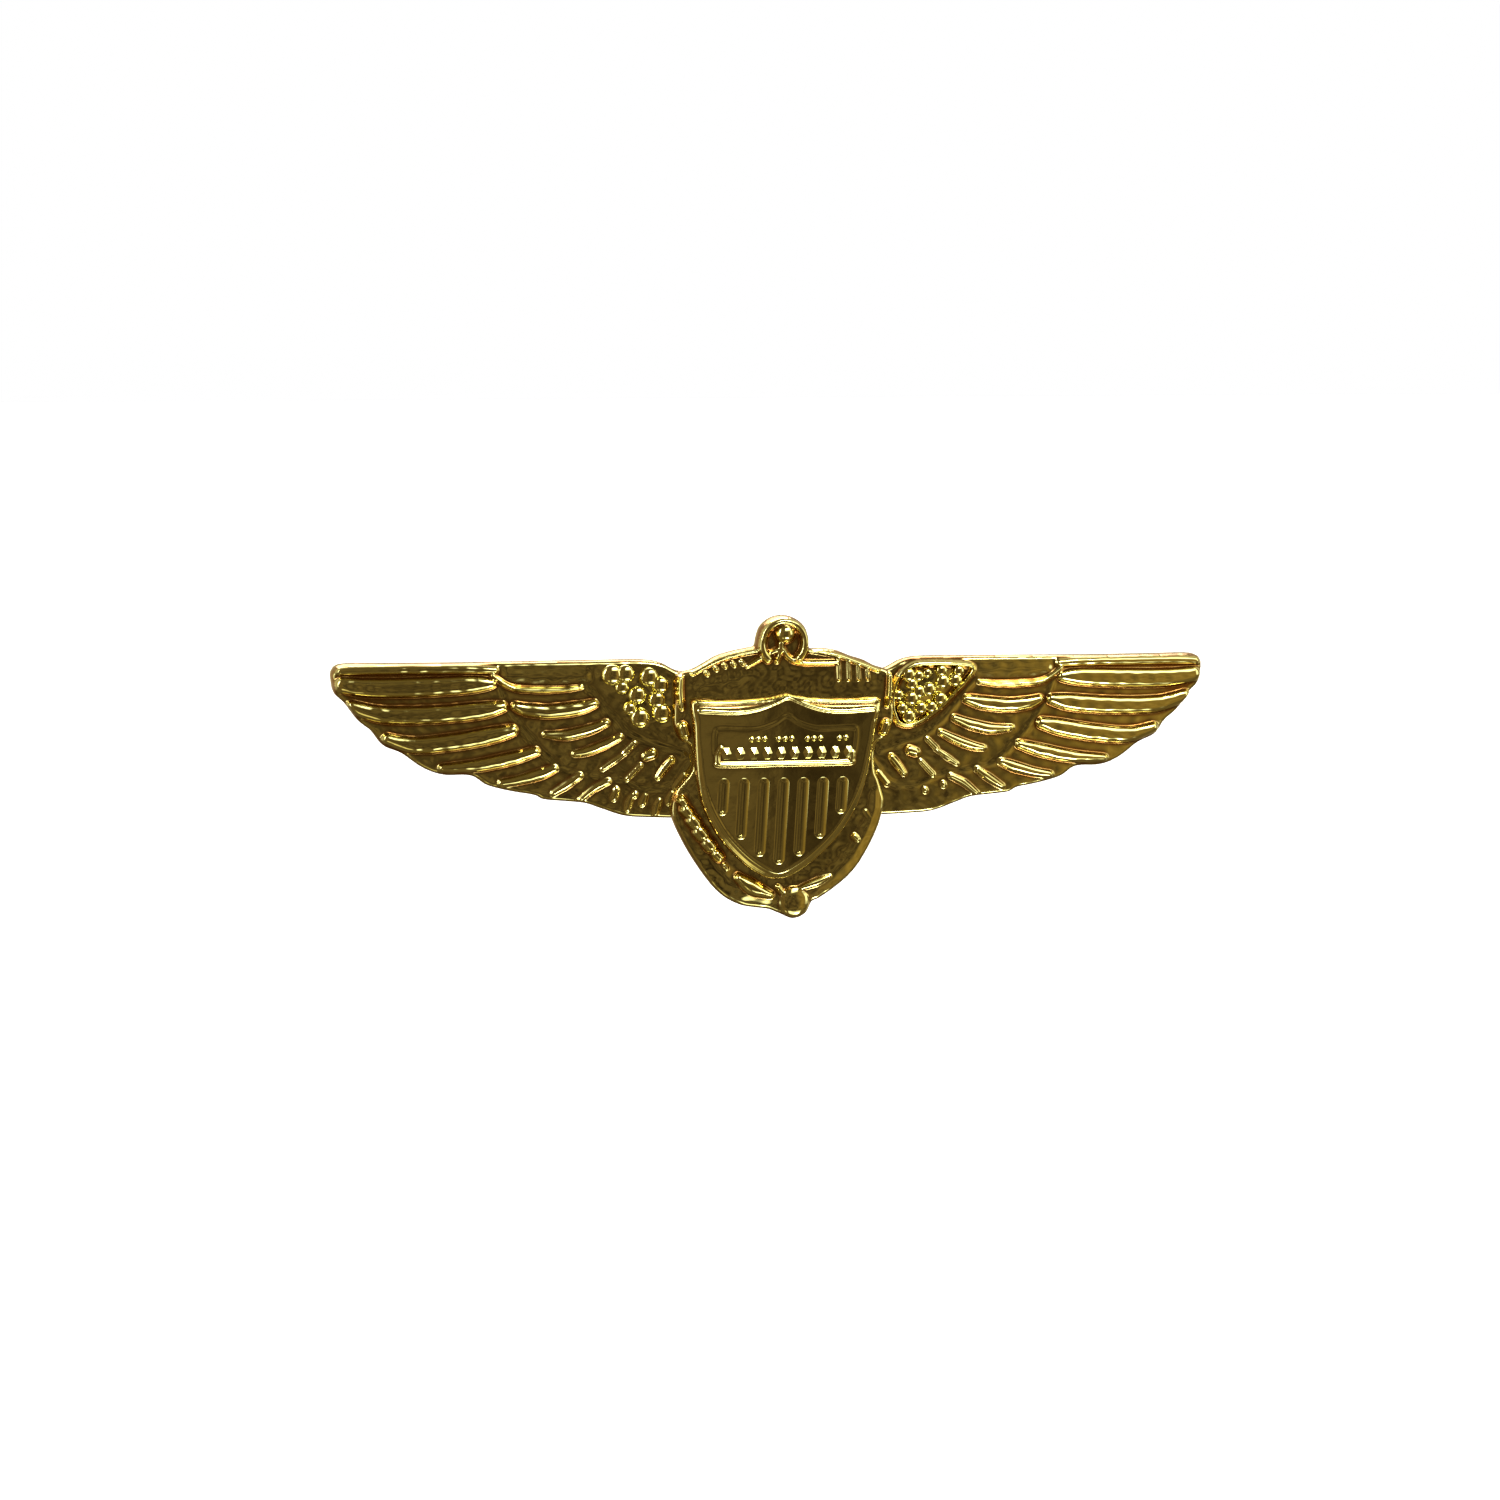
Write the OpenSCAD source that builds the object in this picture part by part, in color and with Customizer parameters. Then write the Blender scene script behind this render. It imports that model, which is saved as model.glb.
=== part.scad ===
// Pilot wings pin: a struck gilt badge, a shield over an anchor between two wings,
// bowed to lie on the chest, with two posts that butterfly clutches hold.
// It stands upright as worn: +X is the viewer's right, +Z is up, the front faces -Y
// and the posts point along +Y. The origin is on the back, midway between the posts.

/* [Badge] */
// Wing tip to wing tip
span = 70; // [58:0.5:84]
// Height of a wing at its root
wing_h = 12.4; // [10:0.1:15]
// Radius that the whole badge is bowed to, tips swept back
bow_r = 150; // [120:5:240]
// Thickness of the wing plate in the grooves between feathers
plate_t = 1.1; // [0.9:0.05:1.6]
// Height of the feathers above those grooves
feather_h = 0.55; // [0.3:0.05:0.8]

/* [Anchor] */
// Thickness of the anchor's flat field
anchor_t = 0.9; // [0.6:0.05:1.4]
// Height of the arms, rope turns and ring above the field
anchor_relief = 0.6; // [0.3:0.05:0.9]
// Outer radius of the ring
ring_r = 2.1; // [1.8:0.1:2.6]
// Width of the ring's round wire
ring_wire = 0.75; // [0.5:0.05:0.95]
// Radius of the ball inside the ring
ball_r = 0.95; // [0.7:0.05:1.2]
// Radius of the knob on the crown
crown_r = 1.35; // [1:0.05:1.6]
// Width of a rope turn on the stock
rope_w = 0.5; // [0.35:0.05:0.65]
// Width of a raised arm
arm_w = 1; // [0.6:0.1:1.4]

/* [Shield] */
// Width across the top corners
shield_w = 15.2; // [12.6:0.1:18.4]
// Height from the top corners to the point
shield_h = 14; // [11.6:0.1:17]
// How far the shield's foot leans to the viewer's left, in mm for each mm of height
shield_lean = 0.045; // [0:0.005:0.06]
// Thickness of the shield
shield_t = 1.05; // [0.7:0.05:1.5]
// Height of its stripes, panel and rim above its face
shield_relief = 0.35; // [0.2:0.05:0.5]
// How many stripes
stripes = 7; // [5:2:9]
// Distance from one stripe to the next
stripe_pitch = 1.58; // [1.3:0.02:1.9]
// Width of a stripe
stripe_w = 0.95; // [0.6:0.05:1.2]

/* [Posts] */
// Distance between the two posts
post_spacing = 28; // [23:0.5:34]
// Diameter of a post
post_d = 1.1; // [0.95:0.05:1.35]
// Diameter of the head that is soldered to the back
head_d = 5; // [4:0.25:6]
// Thinnest part of the head
head_t = 0.4; // [0.3:0.05:0.8]
// Diameter of the waist that the clutch grips
waist_d = 0.75; // [0.6:0.05:0.9]
// Length of the full-width stretch between the waist and the point
bulb_len = 0.7; // [0.5:0.05:1]
// Length of the sharp point
point_len = 1.2; // [0.8:0.1:1.5]

/* [Clutches] */
// Room for cloth between the head and the clutch
cloth_gap = 2.8; // [2.2:0.1:3.6]
// Diameter of the base disc
base_d = 10.6; // [9:0.1:13]
// Thickness of the base disc
base_t = 0.4; // [0.3:0.05:0.5]
// Height of the base's rim
rim_h = 0.95; // [0.75:0.05:1.15]
// Width of the base's rim
rim_w = 0.35; // [0.25:0.05:0.5]
// Thickness of the spring strip
strip_t = 0.3; // [0.2:0.05:0.35]
// Width of the spring strip
strip_w = 5.4; // [4.8:0.1:6.4]
// Room between the rim and each bend of the spring
bend_inset = 0.5; // [0.4:0.05:0.8]
// Height of a finger wing above the disc's front
wing_top = 6.3; // [5.2:0.1:7.6]
// How far a finger wing leans out past its bend
wing_lean = 2.6; // [2.1:0.1:3.2]
// Width of a finger wing
finger_w = 6.2; // [5:0.1:7.5]
// Width of a finger wing at its bend
finger_root_w = 4.2; // [3.4:0.1:5]
// Slope of the tongues that cross behind the disc, in degrees
tongue_slope = 14; // [11.5:0.5:17]
// Width of a tongue
tongue_w = 3; // [2.5:0.1:3.6]

/* [Fits] */
// Clearance between a post and the hole in a base disc, all round
hole_gap = 0.13; // [0.1:0.01:0.2]
// Clearance between a post and the hole in a tongue, all round
tongue_gap = 0.1; // [0.08:0.01:0.15]
// Clearance between the two tongues where they cross
cross_gap = 0.15; // [0.1:0.01:0.3]
// Clearance between the strip and what stands beside it
strip_gap = 0.05; // [0.03:0.01:0.1]

/* [Hidden] */
$fn = 64;

gilt = [0.86, 0.72, 0.25];
brass = [0.78, 0.63, 0.27];
deep = 12;                       // more than the badge is deep, for cutting through it
drawn_root = 7;                  // where a wing leaves the shield in the points below
drawn_reach = 28;                // wing length that its points are drawn at
drawn_wing_h = 12.4;             // wing height that they are drawn at
drawn_shield_w = 15.2;           // shield width that the anchor's points are drawn at
drawn_shield_h = 14;             // shield height that they are drawn at
root_x = drawn_root * shield_w / drawn_shield_w;
wing_reach = span / 2 - root_x;
post_x = post_spacing / 2;
shield_top_z = 3;                // height of the shield's top corners
ring_z = 7.55;                   // height of the ring's centre
ring_x = -0.25;                  // the ring sits a little left of the middle
anchor_front = plate_t + anchor_t;
shield_front = anchor_front + shield_t;

// How far back the badge's back has swept at a distance x from the middle
function back_y(x) = bow_r - sqrt(bow_r * bow_r - x * x);

head_back = back_y(post_x + head_d / 2) + head_t;
clutch_y = head_back + cloth_gap;          // front face of the base disc
waist_y = clutch_y - 0.15;
hole_d = post_d + 2 * hole_gap;
rim_in = base_d / 2 - rim_w;
bend_x = sqrt(pow(rim_in, 2) - pow(finger_root_w / 2, 2)) - bend_inset;
bend_y = base_t + strip_t + 0.25;          // height of the bends above the disc's front
tongue_past = post_d / 2 + 0.75;           // how far a tongue reaches past the post
rise = tan(tongue_slope);
tongue_step = 2 * tongue_past * rise + strip_t / cos(tongue_slope) + cross_gap;
stack_top = bend_y + tongue_step + (bend_x + tongue_past) * rise + strip_t;
waist_end = clutch_y + stack_top + 0.1;
shaft_end = waist_end + bulb_len;

// Points along a smooth curve through pts, n to each stretch (Catmull-Rom)
function curve_point(a, b, c, d, t) =
    0.5 * (2 * b + (c - a) * t + (2 * a - 5 * b + 4 * c - d) * t * t
           + (3 * b - a - 3 * c + d) * t * t * t);
function smooth_line(pts, n) = let (m = len(pts) - 1)
    [for (i = [0 : m - 1]) for (k = [0 : n - 1])
        curve_point(pts[max(i - 1, 0)], pts[i], pts[i + 1], pts[min(i + 2, m)], k / n),
     pts[m]];

// A point of the right wing, stretched to the span and height that are set
function wing_pt(p) = [root_x + (p[0] - drawn_root) * wing_reach / drawn_reach,
                       p[1] * wing_h / drawn_wing_h];

// A point of the anchor, stretched with the shield that lies on it
function anchor_pt(p) = [
    p[0] * shield_w / drawn_shield_w,
    p[1] > shield_top_z ? p[1]
        : shield_top_z + (p[1] - shield_top_z) * shield_h / drawn_shield_h];
function anchor_pts(pts) = [for (p = pts) anchor_pt(p)];

// The plan below it, as a slab of the bowed badge from depth a to depth b
module bowed(a, b) {
    intersection() {
        translate([0, deep, 0]) rotate([90, 0, 0]) linear_extrude(2 * deep) children();
        translate([0, bow_r, 0]) difference() {
            cylinder(r = bow_r + b, h = 4 * deep, center = true, $fn = 360);
            cylinder(r = bow_r + a, h = 5 * deep, center = true, $fn = 360);
        }
    }
}

// A bar with round ends from p to q
module bar(p, q, w) {
    run = q - p;
    translate(p) rotate(atan2(run[1], run[0])) union() {
        translate([0, -w / 2]) square([norm(run), w]);
        circle(d = w, $fn = 32);
        translate([norm(run), 0]) circle(d = w, $fn = 32);
    }
}

module band(pts, w) {
    for (i = [0 : len(pts) - 2]) bar(pts[i], pts[i + 1], w);
}

// ---- the wings ----

// Start, end and width of each long feather, from the leading edge down
PRIMARIES = [[[21.9, 5.4], [34.4, 5], 0.95], [[22.9, 3.8], [33.9, 3.4], 1.5],
             [[21.7, 2.1], [32.4, 1.3], 1.4], [[21.2, 0.4], [30.1, -0.8], 1.4],
             [[19.9, -1.2], [26.9, -2.25], 1.35], [[18.7, -2.6], [23, -3.55], 1.15],
             [[17.2, -3.4], [19.6, -4.4], 1]];
// The second row, from the shoulder down
COVERTS = [[[15.9, 5.1], [20.8, 5.2], 1.3], [[15.2, 2.35], [20.3, 2.05], 1.3],
           [[14.1, 1.25], [18.5, -0.05], 1.1], [[12.9, 0.1], [16.3, -1.25], 1],
           [[12.6, -1.4], [14.2, -2.5], 0.75]];
// The short feathers under the shoulder
SHORT = [[[10.3, -0.8], [11.2, -1.7], 0.7], [[8.9, -1.6], [9.8, -2.8], 0.7],
         [[11.4, -1.9], [12.2, -3.1], 0.6], [[14.4, -3.3], [16, -4.5], 0.7]];
SHOULDER = [[8.8, 1.4], [8.6, 4.4], [9.7, 5.4], [15, 5.6], [14.6, 4.3], [12.4, 2.1], [9.8, 0.6]];
WING_EDGE = [[8.2, 5.2], [9.8, 5.8], [12, 6], [20, 5.95], [34, 5.5], [35, 4.6], [34.7, 3.3],
             [32.8, 0.7], [30, -1.3], [26.6, -2.8], [23, -3.9], [19.3, -4.8], [15.2, -5.3],
             [12.5, -6.1], [9, -6.4]];

module feathers(rows) {
    for (f = rows) bar(wing_pt(f[0]), wing_pt(f[1]), f[2] * wing_h / drawn_wing_h);
}

module wing_plan() {
    tall = wing_h / drawn_wing_h;
    polygon(concat([[-1, 5.1 * tall]], [for (p = WING_EDGE) wing_pt(p)], [[-1, -6.4 * tall]]));
    feathers(PRIMARIES);
}

module raised_feathers() {
    feathers(PRIMARIES);
    feathers(COVERTS);
    feathers(SHORT);
    polygon([for (p = SHOULDER) wing_pt(p)]);
}

module both_wings() {
    children();
    mirror([1, 0]) children();
}

module wing_plate() {
    color(gilt) union() {
        bowed(0, plate_t) both_wings() wing_plan();
        bowed(plate_t, plate_t + feather_h) difference() {
            both_wings() raised_feathers();
            anchor_plan();
        }
    }
}

// ---- the anchor ----

// Its outline, from the left end of the stock round by the crown
STOCK_EDGE = [[-7.4, -0.8], [-8.5, -0.1], [-8.75, 1], [-8.75, 4.8], [-8.2, 5.4], [-7, 5.9], [-5.4, 6.7],
              [-3, 7.2], [3, 7.1], [5.2, 6.4], [7.2, 5.7], [8.3, 5.3], [8.75, 4.7], [8.75, 1],
              [8.5, -0.1], [7.4, -0.8]];
ARMS_EDGE = [[7.3, -3], [8.2, -5], [7.6, -7.4], [6.2, -10], [4, -12.1], [1.6, -13.3], [-1, -13.6],
             [-3.6, -13.1], [-5.9, -11.2], [-7.5, -8.8], [-8.8, -6.2], [-8.8, -4.7], [-7.3, -3]];
ARM_LINE = [[7.7, -5.2], [7, -7.6], [5.6, -10], [3.4, -11.8], [0.5, -12.8], [-3, -12.2], [-5.3, -10.7],
            [-6.9, -8.5], [-8.2, -5.6]];
CROWN = [0.9, -12.95];

module anchor_plan() {
    polygon(anchor_pts(STOCK_EDGE));
    polygon(anchor_pts(concat([[-7.7, 3], [7.7, 3]], smooth_line(ARMS_EDGE, 4))));
    translate([ring_x, ring_z]) circle(r = ring_r);
    translate(anchor_pt(CROWN)) circle(r = crown_r);
}

module rope_turns() {
    for (i = [0 : 3])
        bar(anchor_pt([4.1 + 0.8 * i, 4.2]), anchor_pt([4.1 + 0.8 * i, 6.1 - 0.25 * i]), rope_w);
    bar(anchor_pt([-5.6, 4.2]), anchor_pt([-1.2, 6.4]), rope_w);
}

module stock_ends() {
    for (side = [-1, 1])
        bar(anchor_pt([side * 8.35, 2.4]), anchor_pt([side * 8.35, 4.8]), rope_w);
}

module anchor() {
    relief_top = anchor_front + anchor_relief;
    color(gilt) union() {
        bowed(plate_t, anchor_front) anchor_plan();
        bowed(anchor_front, relief_top) difference() {
            union() {
                intersection() {
                    anchor_plan();
                    union() {
                        band(anchor_pts(smooth_line(ARM_LINE, 3)), arm_w);
                        stock_ends();
                    }
                }
                rope_turns();
                translate(anchor_pt(CROWN)) circle(r = crown_r * 0.85);
                difference() {
                    translate([ring_x, ring_z]) circle(r = ring_r);
                    translate([ring_x, ring_z]) circle(r = ring_r - ring_wire);
                }
            }
            shield_plan();
        }
        translate([ring_x, -anchor_front, ring_z + ring_r - ring_wire / 2 - ball_r])
            sphere(r = ball_r);
    }
}

// ---- the shield ----

// Its right side, as shares of half the width and of the height
SHIELD_SIDE = [[0, 0.05], [0.12, 0.02], [0.35, -0.01], [0.7, -0.015], [1, 0], [0.99, -0.06],
               [0.94, -0.13], [0.93, -0.28], [0.9, -0.45], [0.8, -0.62], [0.62, -0.78],
               [0.36, -0.92], [0.09, -1]];

// How far the lean moves a point that is at height z
function leaned(x, z) = [x + shield_lean * (z - shield_top_z), z];
function shield_pt(p) = leaned(p[0] * shield_w / 2, shield_top_z + p[1] * shield_h);

module shield_plan() {
    polygon(concat([for (p = SHIELD_SIDE) shield_pt(p)],
                   [for (i = [len(SHIELD_SIDE) - 1 : -1 : 1])
                       shield_pt([-SHIELD_SIDE[i][0], SHIELD_SIDE[i][1]])]));
}

// A stripe is longer the nearer it is to the middle
function stripe_end(x) = shield_top_z - shield_h * (0.88 - 0.61 * pow(abs(2 * x / shield_w), 1.64));

module stripe_bars() {
    for (i = [0 : stripes - 1]) {
        x = (i - (stripes - 1) / 2) * stripe_pitch;
        bar(leaned(x, shield_top_z - 0.46 * shield_h), leaned(x, stripe_end(x)), stripe_w);
    }
}

module shield() {
    panel_w = shield_w * 0.77;
    panel_h = shield_h * 0.17;
    color(gilt) union() {
        bowed(anchor_front, shield_front) shield_plan();
        bowed(shield_front, shield_front + shield_relief) intersection() {
            shield_plan();
            union() {
                stripe_bars();
                translate([-panel_w / 2, shield_top_z - 0.35 * shield_h])
                    square([panel_w, panel_h]);
                for (side = [-1, 1])
                    bar(shield_pt([side * 0.88, -0.045]), shield_pt([0, 0]), 0.45);
            }
        }
    }
}

// ---- posts and clutches ----

// Turns what is drawn about +Z so that it stands on a post's axis, along +Y
module on_post(side, y) {
    translate([side * post_x, y, 0]) rotate([-90, 0, 0]) children();
}

module post(side) {
    neck = 0.15;                // length of the slope at each end of the waist
    color(gilt) union() {
        difference() {
            on_post(side, 0) cylinder(d = head_d, h = head_back);
            translate([0, bow_r, 0]) difference() {
                cylinder(r = 2 * bow_r, h = 2 * head_d, center = true, $fn = 360);
                cylinder(r = bow_r, h = 3 * head_d, center = true, $fn = 360);
            }
        }
        on_post(side, 0) rotate_extrude() polygon([
            [0, head_back - head_t / 2], [post_d / 2, head_back - head_t / 2],
            [post_d / 2, waist_y - neck], [waist_d / 2, waist_y],
            [waist_d / 2, waist_end - neck],
            [post_d / 2, waist_end], [post_d / 2, shaft_end],
            [post_d / 8, shaft_end + point_len], [0, shaft_end + point_len]]);
    }
}

module clutch_base(side) {
    boss_h = base_t + 0.32;
    lip = 0.55;                 // how far an ear folds over the strip
    ear_top = base_t + strip_t + strip_gap + 0.3;
    color(brass) on_post(side, clutch_y) union() {
        rotate_extrude() polygon([
            [hole_d / 2, base_t], [hole_d / 2, boss_h], [hole_d / 2 + 0.35, boss_h],
            [2, base_t], [rim_in, base_t], [rim_in, rim_h],
            [base_d / 2, rim_h], [base_d / 2, 0], [1.7, 0]]);
        for (s = [-1, 1]) scale([1, s, 1]) {
            translate([-1.2, strip_w / 2 + strip_gap, base_t / 2])
                cube([2.4, 0.3, ear_top - base_t / 2]);
            translate([-1.2, strip_w / 2 + strip_gap - lip, base_t + strip_t + strip_gap])
                cube([2.4, lip + 0.3, 0.3]);
        }
    }
}

module clutch_spring(side) {
    color(brass) on_post(side, clutch_y) intersection() {
        difference() {
            translate([-bend_x, -strip_w / 2, base_t]) cube([2 * bend_x, strip_w, strip_t]);
            translate([0, 0, base_t / 2]) cylinder(r = 2 + strip_gap, h = base_t + strip_t);
        }
        cylinder(r = rim_in - strip_gap, h = wing_top);
    }
}

// One finger wing, drawn on the +X side of the post. Its tongue starts step above the bend.
module finger(step) {
    t = strip_t;
    reach = bend_x + wing_lean;
    start = [bend_x, bend_y + step];
    tip = [-tongue_past, bend_y + step + (bend_x + tongue_past) * rise];
    elbow = [bend_x + 0.17 * wing_lean, bend_y + 0.38 * (wing_top - bend_y)];
    knee = [bend_x + 0.62 * wing_lean, bend_y + 0.78 * (wing_top - bend_y)];
    end = [reach - t / 2, wing_top - t / 2];
    hole_x = tongue_gap * 1.5;
    module profile(pts) {
        rotate([90, 0, 0]) linear_extrude(2 * finger_w, center = true) band(pts, t);
    }
    intersection() {
        profile([[bend_x, bend_y], elbow, knee, end]);
        rotate([90, 0, 90]) linear_extrude(2 * reach) union() {
            translate([-finger_root_w / 2, bend_y - t])
                square([finger_root_w, wing_top - bend_y]);
            translate([-finger_w / 2, bend_y + 1.6])
                square([finger_w, wing_top - bend_y - 2.9]);
            translate([-finger_w / 2 + 1.3, bend_y + 1.6])
                square([finger_w - 2.6, wing_top - bend_y]);
            for (s = [-1, 1]) {
                translate([s * (finger_w / 2 - 1.3), wing_top - 1.3]) circle(r = 1.3);
                translate([s * (finger_w / 2 - 0.8), bend_y + 1.6]) circle(r = 0.8);
            }
        }
    }
    difference() {
        intersection() {
            profile([start, tip]);
            translate([-reach, -tongue_w / 2, 0]) cube([2 * reach, tongue_w, wing_top]);
        }
        translate([hole_x, 0, 0]) cylinder(d = post_d + 2 * tongue_gap + 2 * hole_x, h = wing_top);
    }
}

module inner_wing(side) {
    color(brass) on_post(side, clutch_y) scale([-side, 1, 1]) finger(0);
}

module outer_wing(side) {
    color(brass) on_post(side, clutch_y) scale([side, 1, 1]) finger(tongue_step);
}

wing_plate();
anchor();
shield();
post(-1);  // left_post
post(1);  // right_post
clutch_base(-1);  // left_clutch_base
clutch_spring(-1);  // left_clutch_spring
inner_wing(-1);  // left_clutch_inner_wing
outer_wing(-1);  // left_clutch_outer_wing
clutch_base(1);  // right_clutch_base
clutch_spring(1);  // right_clutch_spring
inner_wing(1);  // right_clutch_inner_wing
outer_wing(1);  // right_clutch_outer_wing
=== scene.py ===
# %% [markdown]
# # A pilot's wings pin
# The pin is a badge struck in brass and gilt: two feathered wings in one plate, an anchor lying on
# it, and a shield on the anchor. Two posts on its back carry butterfly clutches. This lesson
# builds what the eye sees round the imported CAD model, which stays the frame for every place.

# %% The frame
import math

import bmesh
import bpy
import numpy as np
from mathutils import Matrix, Vector, kdtree
from mathutils.geometry import delaunay_2d_cdt


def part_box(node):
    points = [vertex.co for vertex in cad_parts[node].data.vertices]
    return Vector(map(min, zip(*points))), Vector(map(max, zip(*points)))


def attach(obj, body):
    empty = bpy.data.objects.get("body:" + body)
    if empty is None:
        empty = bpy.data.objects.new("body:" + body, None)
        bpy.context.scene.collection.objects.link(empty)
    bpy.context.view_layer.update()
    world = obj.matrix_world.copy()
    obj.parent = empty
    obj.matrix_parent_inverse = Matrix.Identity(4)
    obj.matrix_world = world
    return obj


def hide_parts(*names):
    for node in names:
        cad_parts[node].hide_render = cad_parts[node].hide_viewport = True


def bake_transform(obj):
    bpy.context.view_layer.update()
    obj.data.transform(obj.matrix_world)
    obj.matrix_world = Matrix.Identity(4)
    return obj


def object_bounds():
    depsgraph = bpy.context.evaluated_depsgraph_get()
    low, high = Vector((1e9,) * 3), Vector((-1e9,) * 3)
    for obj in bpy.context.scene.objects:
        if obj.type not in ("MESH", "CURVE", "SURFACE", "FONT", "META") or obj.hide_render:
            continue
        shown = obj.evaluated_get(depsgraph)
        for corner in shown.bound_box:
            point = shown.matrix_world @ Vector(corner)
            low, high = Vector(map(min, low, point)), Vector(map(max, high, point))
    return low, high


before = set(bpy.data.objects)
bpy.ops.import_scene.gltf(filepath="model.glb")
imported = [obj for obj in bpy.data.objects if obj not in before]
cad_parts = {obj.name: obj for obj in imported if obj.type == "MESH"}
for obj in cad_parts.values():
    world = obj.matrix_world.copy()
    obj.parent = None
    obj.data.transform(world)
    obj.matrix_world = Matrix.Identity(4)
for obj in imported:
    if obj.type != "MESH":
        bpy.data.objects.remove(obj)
CAD_LOW, CAD_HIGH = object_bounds()
MM = 0.001
SEED = 7                       # for all that is left to chance


def add_object(name, data):
    made = bpy.data.objects.new(name, data)
    bpy.context.scene.collection.objects.link(made)
    return made


print("nodes", sorted(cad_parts))

# %% [markdown]
# Every size below is in millimetres and is turned into metres when a mesh is made. The span and the
# clutches' sizes come from the boxes of the CAD nodes, so that the looks follow the design. The
# depths are the design's own.

# %% Sizes taken from the frame
def box_mm(name):
    """The lowest and the highest corner of a CAD node."""
    low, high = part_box(name)
    return np.array(low) / MM, np.array(high) / MM


HALF_SPAN = box_mm("wing_plate")[1][0]
BOW_R = 150.0                  # the badge is bowed to this radius, tips swept back
PLATE = 1.1                    # the wing plate's groove floor, in front of the badge's back
ANCHOR_FRONT = 2.0             # the anchor's flat field, in front of the back
SHIELD_FACE = 3.05             # the shield's face, in front of the back
LAP = 0.02                     # how far a piece sinks into the one that it lies on

# %% [markdown]
# ## Camera
# The pin is seen from a little left of its front and a little above. A long lens keeps the two
# wings the same height. The camera rolls by under a degree, as a hand-held one does.

# %% Camera
AZIMUTH, ELEVATION, ROLL = -12.0, 8.0, -0.8
LENS, SENSOR, FIELD = 180.0, 36.0, 117.5      # the field is what the view spans at the pin, in mm
DISTANCE = FIELD * MM * LENS / SENSOR
SIDEWAYS, DOWN = 2.31, 1.17                   # the pin's origin sits this far off the middle


def direction(azimuth, elevation):
    a, e = math.radians(azimuth), math.radians(elevation)
    return Vector((math.sin(a) * math.cos(e), -math.cos(a) * math.cos(e), math.sin(e)))


camera = add_object("camera", bpy.data.cameras.new("camera"))
camera.data.lens, camera.data.sensor_width = LENS, SENSOR
camera.data.clip_start, camera.data.clip_end = 0.01, 10
camera.rotation_mode = "QUATERNION"
turn = (-direction(AZIMUTH, ELEVATION)).to_track_quat("-Z", "Y").to_matrix()
turn = turn @ Matrix.Rotation(math.radians(-ROLL), 3, "Z")
camera.rotation_quaternion = turn.to_quaternion()
camera.location = turn @ Vector((-SIDEWAYS * MM, -DOWN * MM, DISTANCE))
bpy.context.scene.camera = camera

# %% [markdown]
# ## Light
# Polished metal shows its surroundings. A flat face of the badge mirrors what is round the camera,
# and an edge that is turned away mirrors what is far to the side. So the tent is dim brown in the
# middle, with bright cloths above, below and to the right: flats stay deep gold, and each edge
# that faces a cloth gets a bright line. The cloths are soft windows on the ray's azimuth and
# elevation. A noise gives the tent the unevenness of a real room.

# %% A small class for shader maths
class Wire:
    """A socket in a node tree. Operators on wires add Math nodes."""

    def __init__(self, tree, socket):
        self.tree, self.socket = tree, socket

    def _math(self, operation, other, swap=False):
        a, b = (other, self) if swap else (self, other)
        return node(self.tree, "ShaderNodeMath", {"operation": operation}, {0: a, 1: b})

    def __add__(self, other): return self._math("ADD", other)
    def __radd__(self, other): return self._math("ADD", other, True)
    def __sub__(self, other): return self._math("SUBTRACT", other)
    def __rsub__(self, other): return self._math("SUBTRACT", other, True)
    def __mul__(self, other): return self._math("MULTIPLY", other)
    def __rmul__(self, other): return self._math("MULTIPLY", other, True)


def node(tree, kind, settings=None, inputs=None, out=0):
    """Adds a node, sets it up, fills its sockets, and returns its output as a Wire."""
    n = tree.nodes.new(kind)
    for key, value in (settings or {}).items():
        setattr(n, key, value)
    for key, value in (inputs or {}).items():
        if isinstance(value, Wire):
            tree.links.new(value.socket, n.inputs[key])
        else:
            n.inputs[key].default_value = value
    return Wire(tree, n.outputs[out]) if n.outputs else n


def noise(tree, place, scale, detail, rough):
    return node(tree, "ShaderNodeTexNoise", inputs={
        "Vector": place, "Scale": scale, "Detail": detail, "Roughness": rough})


# %% The light tent
world = bpy.data.worlds.new("tent")
bpy.context.scene.world = world
world.use_nodes = True
sky = world.node_tree
sky.nodes.clear()


def window(value, low, high, soft):
    """1 between low and high, 0 outside, with soft ends."""
    rise = node(sky, "ShaderNodeMapRange", {"interpolation_type": "SMOOTHSTEP"},
                {0: value, 1: low - soft, 2: low + soft, 3: 0.0, 4: 1.0})
    fall = node(sky, "ShaderNodeMapRange", {"interpolation_type": "SMOOTHSTEP"},
                {0: value, 1: high - soft, 2: high + soft, 3: 1.0, 4: 0.0})
    return rise * fall


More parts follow.
